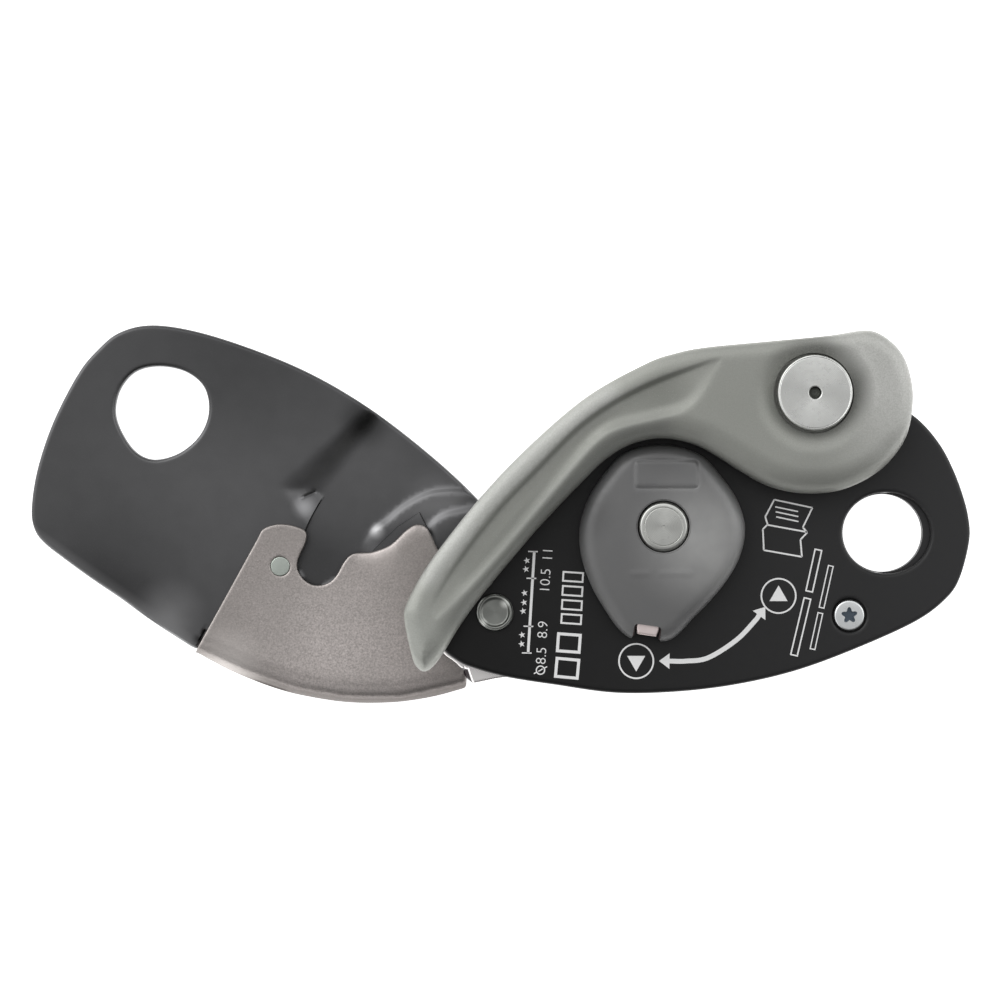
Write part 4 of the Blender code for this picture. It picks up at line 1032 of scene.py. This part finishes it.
# ---------------------------------------------------------------- cam
angles = np.radians([a for a, _ in CAM_RADII])
cam_ring = smooth_ring([(r * math.cos(math.radians(a)), r * math.sin(math.radians(a))) for a, r in CAM_RADII], 0.5)
order = np.argsort(np.arctan2(cam_ring[:, 1], cam_ring[:, 0]))
cam_angle, cam_radius = np.arctan2(cam_ring[:, 1], cam_ring[:, 0])[order], np.hypot(cam_ring[:, 0], cam_ring[:, 1])[order]
steps = 160
turns = np.linspace(-math.pi, math.pi, steps, endpoint=False)
reach = np.interp(turns, cam_angle, cam_radius, period=2 * math.pi)
z0, z1 = Z_CAM
rows_of = []
for a, r in zip(turns, reach):
    prof = rounded_profile(
        [
            (5.8, z0, 0.2), (5.8, z0 + 7.6), (9.2, z0 + 7.6, 0.2), (9.2, z1, 0.2), (r - 0.9, z1, 0.5), (r, z1 - 0.9, 0.5), (r, z1 - 2.6, 0.9),
            (r - 1.7, z1 - 4.6, 1.2), (r - 1.7, z0 + 4.6, 1.2), (r, z0 + 2.6, 0.9), (r, z0 + 0.9, 0.5), (r - 0.9, z0, 0.5),
        ],
        True,
    )
    rows_of.append([(q * math.cos(a) * MM, q * math.sin(a) * MM, z * MM) for q, z in prof])
per = len(rows_of[0])
cam_verts = [v for row in rows_of for v in row]
cam_faces = [
    (k * per + i, k * per + (i + 1) % per, ((k + 1) % steps) * per + (i + 1) % per, ((k + 1) % steps) * per + i)
    for k in range(steps)
    for i in range(per)
]
cam = new_object("cam_fine", cam_verts, cam_faces, POLISHED)
fix_normals(cam)
tail_dir = math.degrees(math.atan2(TAIL_PIN[1], TAIL_PIN[0]))
tail_r = math.hypot(*TAIL_PIN)
left, right = polar((0, 0), 1, tail_dir + 90), polar((0, 0), 1, tail_dir - 90)
root = polar((0, 0), tail_r * 3 / 8, tail_dir)
tail_ring = evenly(np.vstack([
    [(root[0] + left[0] * 5, root[1] + left[1] * 5), (root[0] + right[0] * 5, root[1] + right[1] * 5)],
    arc(TAIL_PIN, 2.8, tail_dir - 90, tail_dir + 90, 24),
]), 0.45)
if area_of(tail_ring) < 0:
    tail_ring = tail_ring[::-1].copy()
tail = flat_slab("cam_tail", tail_ring, [circle(TAIL_PIN, 1.6, 0.35)], 5.3, 13.7, 0.45, POLISHED, 1.6)
fix_normals(tail)
bpy.context.view_layer.update()
combine(cam, tail, "UNION")
place(cam, "cam", "polished_stainless", "cam")
place(
    lathe("cam_bushing_fine", [(5.5, 10.8, 0.2), (5.5, 3.8, 0.2), (4.4, 3.8, 0.2), (4.4, 10.8, 0.2)], (0, 0), BRONZE, 80, loop=True),
    "cam", "bearing_bronze", "cam_bushing",
)
place(
    lathe("cam_tail_pin_fine", [(0, 15.2), (1.3, 15.2, 0.25), (1.3, 3.8, 0.25), (0, 3.8)], TAIL_PIN, SPRING, 40),
    "cam", "spring_steel", "cam_tail_pin",
)

# ---------------------------------------------------------------- handle lever
handle_ring = smooth_ring(HANDLE_OUTLINE, 0.45, 3)
ahead = np.roll(handle_ring, -1, 0) - handle_ring
ahead /= np.hypot(ahead[:, 0], ahead[:, 1])[:, None]
handle_normal = np.column_stack([ahead[:, 1], -ahead[:, 0]])  # outwards
for _ in range(10):
    handle_normal = (np.roll(handle_normal, 1, 0) + handle_normal + np.roll(handle_normal, -1, 0)) / 3


def open_curve(points, count):
    pts = np.array(points, float)
    out = []
    for i in range(len(pts) - 1):
        p0 = pts[i - 1] if i else 2 * pts[0] - pts[1]
        p3 = pts[i + 2] if i + 2 < len(pts) else 2 * pts[-1] - pts[-2]
        out += [catmull(p0, pts[i], pts[i + 1], p3, k / count) for k in range(count)]
    return np.array(out + [tuple(pts[-1])])


groove_ring = evenly(np.vstack([open_curve(GROOVE_LOW, 10), open_curve(GROOVE_HIGH, 10)[::-1]]), 0.5)
for _ in range(44):
    groove_ring = 0.5 * groove_ring + 0.25 * (np.roll(groove_ring, 1, 0) + np.roll(groove_ring, -1, 0))
GROOVE_UPPER, GROOVE_LOWER = open_curve(GROOVE_HIGH, 4), open_curve(GROOVE_LOW, 4)
TIP_CURVE = open_curve([(-50.0, -12.0), (-51.1, -17.4), (-49.7, -21.3), (-48.5, -25.5), (-50.2, -29.8)], 10)


def handle_top(p, d):
    _, index = nearest(p, handle_ring)
    ny = handle_normal[index, 1]
    under = step_up(-ny, 0.1, 0.7)
    width, height = 3.3 + 2.2 * under, 1.9 + 2.6 * under
    reach = np.hypot(p[:, 0] - PIN[0], p[:, 1] - PIN[1])
    crest = Z_HANDLE[1] - 3.4 * step_up(reach, 20, 92)
    # the grip's finger groove
    g = signed(p, groove_ring)
    fade = step_up(reach, 16, 35) * (1 - 0.8 * step_up(reach, 78, 93))
    upper, lower = nearest(p, GROOVE_UPPER, False)[0], nearest(p, GROOVE_LOWER, False)[0]
    side = upper / np.maximum(upper + lower, 1e-6)
    groove = -1.3 * ((1 - side) * step_up(g, -0.3, 0.95) + side * step_up(g, -0.8, 2.5)) * fade
    # tip facet
    away, idx = nearest(p, TIP_CURVE, False)
    a, b = TIP_CURVE[idx], TIP_CURVE[idx + 1]
    left_of = (b[:, 0] - a[:, 0]) * (p[:, 1] - a[:, 1]) - (b[:, 1] - a[:, 1]) * (p[:, 0] - a[:, 0]) < 0
    facet = np.where(left_of & (reach > 80), -0.12 * np.minimum(away, 3.0), 0)
    # dish round the pin head, and a slight crown of the lobe towards its outer end
    dish = -1.25 * (1 - step_up(reach, 7.2, 12.8))
    crown = -0.0030 * np.maximum(0, (p[:, 0] - PIN[0] + 6)) ** 2 * (reach < 26)
    return crest - ellipse_drop(d, width, height) * (d < 30) * (reach > 8.6) + groove + facet + dish + crown * step_up(reach, 6, 14)


def handle_height(p, d):
    """The rounding follows the outer border only, so the pin's recess keeps a crisp wall."""
    outer_gap, _ = nearest(p, handle_ring)
    return handle_top(p, outer_gap)


lever = slab(
    "lever",
    handle_ring,
    [circle(PIN, 8.3, 0.4)],
    handle_height,
    lambda p, d: np.full(len(p), Z_HANDLE[0]) + ellipse_drop(nearest(p, handle_ring)[0], 1.2, 1.2),
    0.0, 0.0, 0.62, HANDLE, offsets=(0.08, 0.2, 0.4, 0.75, 1.1, 1.6, 2.1), guides=[inset(groove_ring, k) for k in (-0.3, 0.0, 0.32, 0.64, 0.95)], angle=60,
)
place(lever, "handle", "handle_grey", "handle_lever")
# floor of the recess under the pin head
place(
    lathe(
        "lever_recess_floor",
        [(8.28, 28.4, 0.1), (8.28, Z_HANDLE[0] + 0.1), (4.3, Z_HANDLE[0] + 0.1), (4.3, 28.4, 0.1)], PIN, HANDLE, 96, loop=True,
    ),
    "handle", "handle_grey",
)
place(
    lathe(
        "handle_pin_fine",
        [
            (0, 30.9), (0.45, 31.05, 0.05), (0.95, 30.9, 0.1), (1.22, 31.2, 0.1), (1.25, 32.7, 0.08), (1.45, 32.86, 0.05), (7.2, 32.84, 0.05), (7.3, 32.78, 0.02), (7.42, 32.9, 0.05),
            (7.6, 32.82, 0.06), (7.75, 32.5, 0.08), (7.75, 30.5, 0.15), (4.0, 30.5), (4.0, 5.6, 0.1), (3.4, 5.6), (3.4, 4.6), (4.0, 4.6, 0.1), (4.0, 4.0, 0.2), (3.6, 3.6, 0.1), (0, 3.6),
        ],
        PIN, TURNED, 128,
    ),
    "handle", "plated_steel", "handle_pin",
)
# dark disc in the pin's centre hole: painted shade
place(lathe("pin_centre_floor", [(0, 31.55), (0.5, 31.7, 0.1), (1.15, 31.5, 0.1), (1.15, 31.3, 0.05), (0, 31.3)], PIN, PIN_PIT_SHADE, 48), "handle", "plated_steel")
place(
    lathe("handle_washer_fine", [(9.0, 20.8, 0.15), (9.0, 20.2, 0.15), (4.3, 20.2, 0.1), (4.3, 20.8, 0.1)], PIN, KNOB, 96, loop=True),
    "handle", "knob_grey", "handle_washer",
)
dog_tip = polar(PIN, 17.2, -100)
dog_ring = evenly(np.vstack([arc(PIN, 7.2, -30, 190, 60), arc(dog_tip, 2.3, -190, -10, 20)]), 0.5)
if area_of(dog_ring) < 0:
    dog_ring = dog_ring[::-1].copy()
place(flat_slab("release_dog_fine", dog_ring, [circle(PIN, 4.3, 0.5)], 6.1, 12.1, 0.45, STEEL, 2.0), "handle", "brushed_stainless", "release_dog")
clip_ring = evenly(np.vstack([arc(PIN, 6.2, 30, 330, 60), arc(PIN, 3.7, 330, 30, 50)]), 0.35)
if area_of(clip_ring) < 0:
    clip_ring = clip_ring[::-1].copy()
place(flat_slab("dog_retaining_ring_fine", clip_ring, [], 4.9, 5.3, 0.12, SPRING, 1.2), "handle", "spring_steel", "dog_retaining_ring")
place(
    tube(
        "handle_return_spring_fine",
        [(*polar(PIN, 7.2, -30), 12.9), (*polar(PIN, 6.0, -14), 12.9)] + coil(PIN, 5.4, 12.9, 14.1, 1.5, 0)
        + [(*polar(PIN, 6.0, 194), 14.1), (*polar(PIN, 7.2, 210), 14.1)],
        0.4, SPRING,
    ),
    "handle", "spring_steel", "handle_return_spring",
)

# ---------------------------------------------------------------- selector knob
knob_ring = smooth_ring([(r * math.cos(math.radians(a)), r * math.sin(math.radians(a))) for a, r in KNOB_RADII], 0.4, 3)
button_dir = math.degrees(math.atan2(centre_of("lock_button")[1], centre_of("lock_button")[0]))


def radial(u, v):
    """Point at u across and v out along the button's direction."""
    a, b = polar((0, 0), 1, button_dir + 90), polar((0, 0), 1, button_dir)
    return (a[0] * u + b[0] * v, a[1] * u + b[1] * v)


window = np.array([radial(u, v) for u, v in ((-2.85, 27), (-2.85, 21.2), (-2.4, 20.75), (2.4, 20.75), (2.85, 21.2), (2.85, 27))])
pad = evenly(np.array([(-6.2, 7.9), (7.4, 7.9), (7.4, 13.9), (-6.2, 13.9)]), 0.3)
for _ in range(14):
    pad = 0.5 * pad + 0.25 * (np.roll(pad, 1, 0) + np.roll(pad, -1, 0))
# outline with the button's notch cut out of its lower end
shape = [tuple(q) for q in knob_ring]
cut = inside(knob_ring, window)
first = next(k for k in range(len(shape)) if cut[k] and not cut[k - 1])
last = next(k for k in range(len(shape)) if cut[k] and not cut[(k + 1) % len(shape)])
before, after = shape[first - 1], shape[(last + 1) % len(shape)]
kept = [shape[(last + 1 + k) % len(shape)] for k in range(len(shape) - (last - first + 1) % len(shape))]
side_order = (2.85, -2.85) if np.dot(np.array(before) - np.array(after), np.array(polar((0, 0), 1, button_dir + 90))) > 0 else (-2.85, 2.85)
walk = [
    radial(side_order[0], 23.2), radial(side_order[0], 21.3), radial(side_order[0] * 0.86, 20.8), radial(side_order[1] * 0.86, 20.8),
    radial(side_order[1], 21.3), radial(side_order[1], 23.2),
]
knob_outline = evenly(np.array(kept + walk), 0.3)
knob_outline = 0.5 * knob_outline + 0.25 * (np.roll(knob_outline, 1, 0) + np.roll(knob_outline, -1, 0))
if area_of(knob_outline) < 0:
    knob_outline = knob_outline[::-1].copy()


def bars(p, spans, y0, half):
    out = np.zeros(len(p))
    for x0, x1 in spans:
        dx = np.maximum(0, np.maximum(x0 - p[:, 0], p[:, 0] - x1))
        out = np.maximum(out, 1 - step_up(np.hypot(dx, p[:, 1] - y0), half - 0.15, half + 0.15))
    return out


def knob_top(p, d):
    outer_gap, _ = nearest(p, knob_ring)
    outer_gap = np.where(inside(p, knob_ring), outer_gap, 0)
    top = Z_KNOB[1] - ellipse_drop(outer_gap, 3.3, 3.0) - 0.0022 * np.hypot(p[:, 0] - 1, p[:, 1]) ** 2
    # plain pad in place of a badge, two plain bars in place of words
    s = signed(p, pad)
    top += 0.14 * step_up(s, 0.35, 0.6) - 0.12 * np.exp(-((s / 0.22) ** 2))
    top += 0.08 * bars(p, ((-6.6, -3.4), (-0.6, 5.6)), -9.6, 0.55)
    return top


knob = slab(
    "knob",
    knob_outline,
    [circle((0, 0), 5.7, 0.35)],
    knob_top,
    lambda p, d: np.full(len(p), Z_KNOB[0]) + ellipse_drop(nearest(p, knob_ring)[0], 0.5, 0.5),
    0.0, 0.0, 0.6, KNOB, offsets=(0.05, 0.15, 0.3, 0.5, 0.8, 1.2, 1.7, 2.2, 2.8), guides=[inset(pad, k) for k in (-0.25, 0, 0.25, 0.45, 0.7)], angle=50,
)
pocket = flat_slab(
    "button_pocket", np.array([radial(u, v) for u, v in ((2.7, 14.4), (2.7, 21.6), (-2.7, 21.6), (-2.7, 14.4))])[::-1].copy(), [], 20.7, 24.95, 0.0, NOTCH_SHADE, 3.0
)
bpy.context.view_layer.update()
combine(knob, pocket, "DIFFERENCE")
place(knob, "selector", "knob_grey", "selector_knob")
# dark liners on the notch's side walls: painted shade where the deep notch is in shade
for k, side in enumerate((-1, 1)):
    shade_liner = np.array([radial(side * u, v) for u, v in ((2.62, 20.9), (2.62, 23.3), (2.84, 23.5), (2.84, 21.1))])
    shade_liner = shade_liner if area_of(shade_liner) > 0 else shade_liner[::-1].copy()
    place(flat_slab(f"notch_shade_liner{k}", shade_liner, [], 20.4, 24.9, 0.0, NOTCH_SHADE, 3.0), "selector", "knob_grey")
place(
    lathe(
        "knob_counterbore_lining",
        [(5.69, 26.1, 0.05), (5.69, 20.3), (4.6, 20.3), (4.6, 23.0), (5.45, 23.0), (5.45, 26.1, 0.05)], (0, 0), KNOB, 96, loop=True,
    ),
    "selector", "knob_grey",
)
ball = lathe("detent_ball_fine", [(1.4 * math.sin(math.radians(a)), 21.35 + 1.4 * math.cos(math.radians(a))) for a in range(0, 181, 9)], DETENT, POLISHED, 40)
place(ball, "selector", "polished_stainless", "detent_ball")
place(tube("detent_spring_fine", coil(DETENT, 1.1, 23.05, 23.4, 1.0, 0), 0.15, SPRING, 8), "selector", "spring_steel", "detent_spring")

button_ring = evenly(np.array([radial(u, v) for u, v in ((-2.5, 17.9), (2.5, 17.9), (2.5, 21.4), (2.05, 22.95), (-2.05, 22.95), (-2.5, 21.4))]), 0.2)
for _ in range(4):
    button_ring = 0.5 * button_ring + 0.25 * (np.roll(button_ring, 1, 0) + np.roll(button_ring, -1, 0))
if area_of(button_ring) < 0:
    button_ring = button_ring[::-1].copy()
place(flat_slab("lock_button_fine", button_ring, [], Z_BUTTON[0], Z_BUTTON[1], 0.45, BUTTON_LOOK, 0.7), "lock_button", "plated_steel", "lock_button")
place(
    tube(
        "lock_button_spring_fine",
        [
            (*polar((0, 0), 16.05 + 1.45 * k / 60, button_dir + 3.0 * math.cos(2 * math.pi * k / 20)), 22.8 + 0.9 * math.sin(2 * math.pi * k / 20))
            for k in range(61)
        ],
        0.2, SPRING, 8,
    ),
    "lock_button", "spring_steel", "lock_button_spring",
)

# ---------------------------------------------------------------- white print on the fixed plate
PRINT_Z = (FACE + 0.004, FACE + 0.03)


def printed(name, ring, holes=()):
    ring = np.array(ring, float)
    if area_of(ring) < 0:
        ring = ring[::-1].copy()
    return place(flat_slab(name, ring, [np.array(h) for h in holes], *PRINT_Z, 0.0, PRINT, 50.0), "frame", "black_anodised")


def stroke(a, b, width):
    a, b = np.array(a, float), np.array(b, float)
    t = (b - a) / np.linalg.norm(b - a)
    n = np.array((-t[1], t[0])) * width / 2
    return [a - n, b - n, b + n, a + n]


def join_print(name, pieces):
    """Joins the printed shapes of one sign into one piece."""
    for other in pieces[1:]:
        offset = len(pieces[0].data.vertices)
        verts = [v.co.copy() for v in pieces[0].data.vertices] + [v.co.copy() for v in other.data.vertices]
        faces = [tuple(f.vertices) for f in pieces[0].data.polygons] + [tuple(i + offset for i in f.vertices) for f in other.data.polygons]
        mesh = bpy.data.meshes.new(name)
        mesh.from_pydata(verts, [], faces)
        mesh.materials.append(PRINT)
        pieces[0].data = mesh
        bpy.data.objects.remove(other, do_unlink=True)
    pieces[0].name = name
    return pieces[0]


line_a, line_b = np.array((-26.8, -5.3)), np.array((-28.1, -26.6))
scale_parts = [printed("print_line", stroke(line_a, line_b, 0.56))]
for k, f in enumerate((0.0, 0.264, 0.737, 1.0)):
    at = line_a + (line_b - line_a) * f
    scale_parts.append(printed(f"print_tick{k}", stroke(at + np.array((-1.3, 0.03)), at + np.array((0.75, -0.02)), 0.26)))
join_print("print_scale", scale_parts)


def five_star(c, r):
    return [
        (c[0] + (r if k % 2 == 0 else r * 0.4) * math.cos(math.radians(174 + 36 * k)), c[1] + (r if k % 2 == 0 else r * 0.4) * math.sin(math.radians(174 + 36 * k)))
        for k in range(10)
    ]


stars = [(-28.3, -7.2), (-28.5, -9.0), (-28.8, -14.0), (-28.9, -16.0), (-29.1, -17.8), (-29.3, -22.8), (-29.4, -24.7)]
join_print("print_stars", [printed(f"print_star{k}", five_star((x - 0.05, y), 0.74)) for k, (x, y) in enumerate(stars)])


def number(name, text, at, size):
    """A dial number, reading upwards."""
    data = bpy.data.curves.new(name, "FONT")
    data.body, data.size, data.extrude = text, size * MM, 0.013 * MM
    data.align_x, data.align_y = "CENTER", "CENTER"
    data.resolution_u = 4
    data.offset = -0.035 * MM
    guide = bpy.data.objects.new(name + "_guide", data)
    guide.location = (at[0] * MM, at[1] * MM, (PRINT_Z[0] + PRINT_Z[1]) / 2 * MM)
    guide.rotation_euler = (0, 0, math.radians(86.5))
    bpy.context.scene.collection.objects.link(guide)
    bpy.context.view_layer.update()
    mesh = bpy.data.meshes.new_from_object(guide.evaluated_get(bpy.context.evaluated_depsgraph_get()))
    mesh.transform(guide.matrix_world)
    bpy.data.objects.remove(guide, do_unlink=True)
    work = bmesh.new()
    work.from_mesh(mesh)
    bmesh.ops.remove_doubles(work, verts=work.verts, dist=1e-7)
    bmesh.ops.recalc_face_normals(work, faces=work.faces)
    work.to_mesh(mesh)
    work.free()
    mesh.materials.clear()
    mesh.materials.append(PRINT)
    obj = bpy.data.objects.new(name, mesh)
    bpy.context.scene.collection.objects.link(obj)
    return place(obj, "frame", "black_anodised")


for k, (text, x, y) in enumerate((("11", -23.9, -5.9), ("10.5", -24.4, -11.4), ("8.9", -24.95, -21.7), ("8.5", -25.25, -27.15))):
    number(f"print_number{k}", text, (x, y), 3.05)

# the sign for a diameter, then blank frames and bars where marks and sentences would be
def ring_print(name, c, r, width):
    return printed(name, circle(c, r, 0.35), [circle(c, r - width, 0.35)])


join_print("print_diameter", [
    ring_print("print_diameter_ring", (-25.5, -30.2), 1.0, 0.26),
    printed("print_diameter_bar2", stroke((-25.95, -30.46), (-25.05, -29.94), 0.24)),
    printed("print_diameter_bar0", stroke((-26.9, -30.95), (-26.38, -30.67), 0.24)),
    printed("print_diameter_bar1", stroke((-24.62, -29.73), (-24.1, -29.45), 0.24)),
])


def blank(name, a, b, height, width):
    """An empty frame along the line a to b."""
    a, b = np.array(a, float), np.array(b, float)
    t = (b - a) / np.linalg.norm(b - a)
    n = np.array((-t[1], t[0]))
    outer = [a - n * height / 2, b - n * height / 2, b + n * height / 2, a + n * height / 2]
    h = height / 2 - width
    inner = [a + t * width - n * h, b - t * width - n * h, b - t * width + n * h, a + t * width + n * h]
    return printed(name, outer, [inner])


mark = [blank("print_mark0", (-20.1, -32.0), (-19.7, -27.6), 5.2, 0.62), blank("print_mark1", (-19.7, -26.6), (-19.4, -22.4), 5.2, 0.62)]
for k in range(4):
    y = -20.6 + 2.95 * k
    mark.append(blank(f"print_dash{k}", (-19.1 + 0.12 * k, y), (-18.95 + 0.12 * k, y + 2.25), 4.5, 0.38))
join_print("print_marks_left", mark)
lines = []
for k, (a, b, high, wide) in enumerate((
    ((27.7, -27.2), (30.6, -15.0), 1.7, 0.3), ((30.9, -13.8), (32.9, -4.8), 1.7, 0.3), ((31.6, -25.9), (33.3, -18.1), 1.25, 0.24), ((33.5, -17.2), (35.5, -8.2), 1.25, 0.24),
)):
    lines.append(blank(f"print_bar{k}", a, b, high, wide))
join_print("print_frames_right", lines)


join_print("print_disc_low", [
    ring_print("print_disc_a", (-5.4, -28.3), 3.78, 0.34),
    printed("print_disc_a1", [(-5.4, -30.5), (-3.5, -27.2), (-7.3, -27.2)]),
])
join_print("print_disc_high", [
    ring_print("print_disc_b", (24.5, -14.6), 3.78, 0.34),
    printed("print_disc_b1", [(24.5, -12.4), (22.6, -15.7), (26.4, -15.7)]),
])

# double arrow, an arc with a head at each end
arrow_mid = open_curve([(1.6, -28.3), (5.0, -28.3), (9.7, -27.6), (15.6, -23.9), (19.4, -20.0), (20.4, -18.7)], 8)
tangent = np.gradient(arrow_mid, axis=0)
tangent /= np.hypot(tangent[:, 0], tangent[:, 1])[:, None]
normal = np.column_stack([-tangent[:, 1], tangent[:, 0]])
t0, n0, t1, n1 = tangent[0], normal[0], tangent[-1], normal[-1]
a0, a1 = arrow_mid[0], arrow_mid[-1]
printed("print_arrow", np.vstack([
    [a0 - t0 * 2.2, a0 - n0 * 1.65], arrow_mid - normal * 0.5, [a1 - n1 * 1.65, a1 + t1 * 2.2, a1 + n1 * 1.65],
    (arrow_mid + normal * 0.5)[::-1], [a0 + n0 * 1.65],
]))

# open booklet
book = [(23.6, 5.6), (31.6, 3.9), (29.6, -0.2), (30.5, -1.3), (29.1, -2.8), (29.4, -6.4), (21.4, -5.0), (21.2, -0.6), (22.2, 0.4), (21.7, 2.0)]
book_parts = [printed(f"print_book{k}", stroke(book[k], book[(k + 1) % len(book)], 0.34)) for k in range(len(book))]
book_parts.append(printed("print_book_spine", stroke((22.2, 0.3), (30.5, -1.2), 0.34)))
for k in range(3):
    book_parts.append(printed(f"print_book_line{k}", stroke((23.8 + 0.1 * k, 4.1 - 1.05 * k), (28.6 + 0.05 * k, 3.1 - 1.05 * k), 0.3)))
join_print("print_book", book_parts)

# ---------------------------------------------------------------- floor, light, camera
floor_mesh = bpy.data.meshes.new("floor")
z = (CAD_BOX[0].z * 1000 - 0.05) * MM
floor_mesh.from_pydata([(-3, -3, z), (3, -3, z), (3, 3, z), (-3, 3, z)], [], [(0, 1, 2, 3)])
floor = bpy.data.objects.new("floor", floor_mesh)
bpy.context.scene.collection.objects.link(floor)
paper = bpy.data.materials.new("paper")
paper.use_nodes = True
shader = paper.node_tree.nodes["Principled BSDF"]
shader.inputs["Base Color"].default_value = (0.9, 0.9, 0.9, 1)
shader.inputs["Roughness"].default_value = 0.9
shader.inputs["Emission Color"].default_value = (1, 1, 1, 1)
shader.inputs["Emission Strength"].default_value = 0.95
floor_mesh.materials.append(paper)

world = bpy.data.worlds.new("studio")
bpy.context.scene.world = world
world.use_nodes = True
tree = world.node_tree
background = tree.nodes["Background"]
background.inputs["Color"].default_value = (1, 1, 1, 1)
coord = tree.nodes.new("ShaderNodeTexCoord")
total = None
# soft glows: direction, sharpness, strength
for direction, power, strength in (
    ((-0.56, 0.46, 0.68), 9, 1.75),
    ((-0.78, 0.56, 0.24), 9, 1.9),
    ((0.66, 0.32, 0.66), 10, 1.4),
    ((0.93, 0.05, 0.3), 10, 0.9),
    ((0.0, 0.75, 0.66), 12, 0.75),
    ((-0.72, -0.48, 0.5), 12, 1.1),
    ((0.0, 0.0, 1.0), 6, 0.3),
):
    dot = tree.nodes.new("ShaderNodeVectorMath")
    dot.operation = "DOT_PRODUCT"
    dot.inputs[1].default_value = Vector(direction).normalized()
    tree.links.new(coord.outputs["Generated"], dot.inputs[0])
    most = tree.nodes.new("ShaderNodeMath")
    most.operation = "MAXIMUM"
    most.inputs[1].default_value = 0.0
    tree.links.new(dot.outputs["Value"], most.inputs[0])
    raised = tree.nodes.new("ShaderNodeMath")
    raised.operation = "POWER"
    raised.inputs[1].default_value = power
    tree.links.new(most.outputs[0], raised.inputs[0])
    scaled = tree.nodes.new("ShaderNodeMath")
    scaled.operation = "MULTIPLY_ADD"
    scaled.inputs[1].default_value = strength
    tree.links.new(raised.outputs[0], scaled.inputs[0])
    if total is None:
        scaled.inputs[2].default_value = 0.1
    else:
        tree.links.new(total, scaled.inputs[2])
    total = scaled.outputs[0]
tree.links.new(total, background.inputs["Strength"])

camera_data = bpy.data.cameras.new("camera")
camera_data.sensor_width, camera_data.lens = 36, 102.857
camera_data.clip_start, camera_data.clip_end = 0.01, 50
camera = bpy.data.objects.new("camera", camera_data)
camera.location = (-0.0340, 0.00553, (FACE + 600) * MM)
bpy.context.scene.collection.objects.link(camera)
bpy.context.scene.camera = camera
bpy.context.scene.view_settings.view_transform = "Standard"
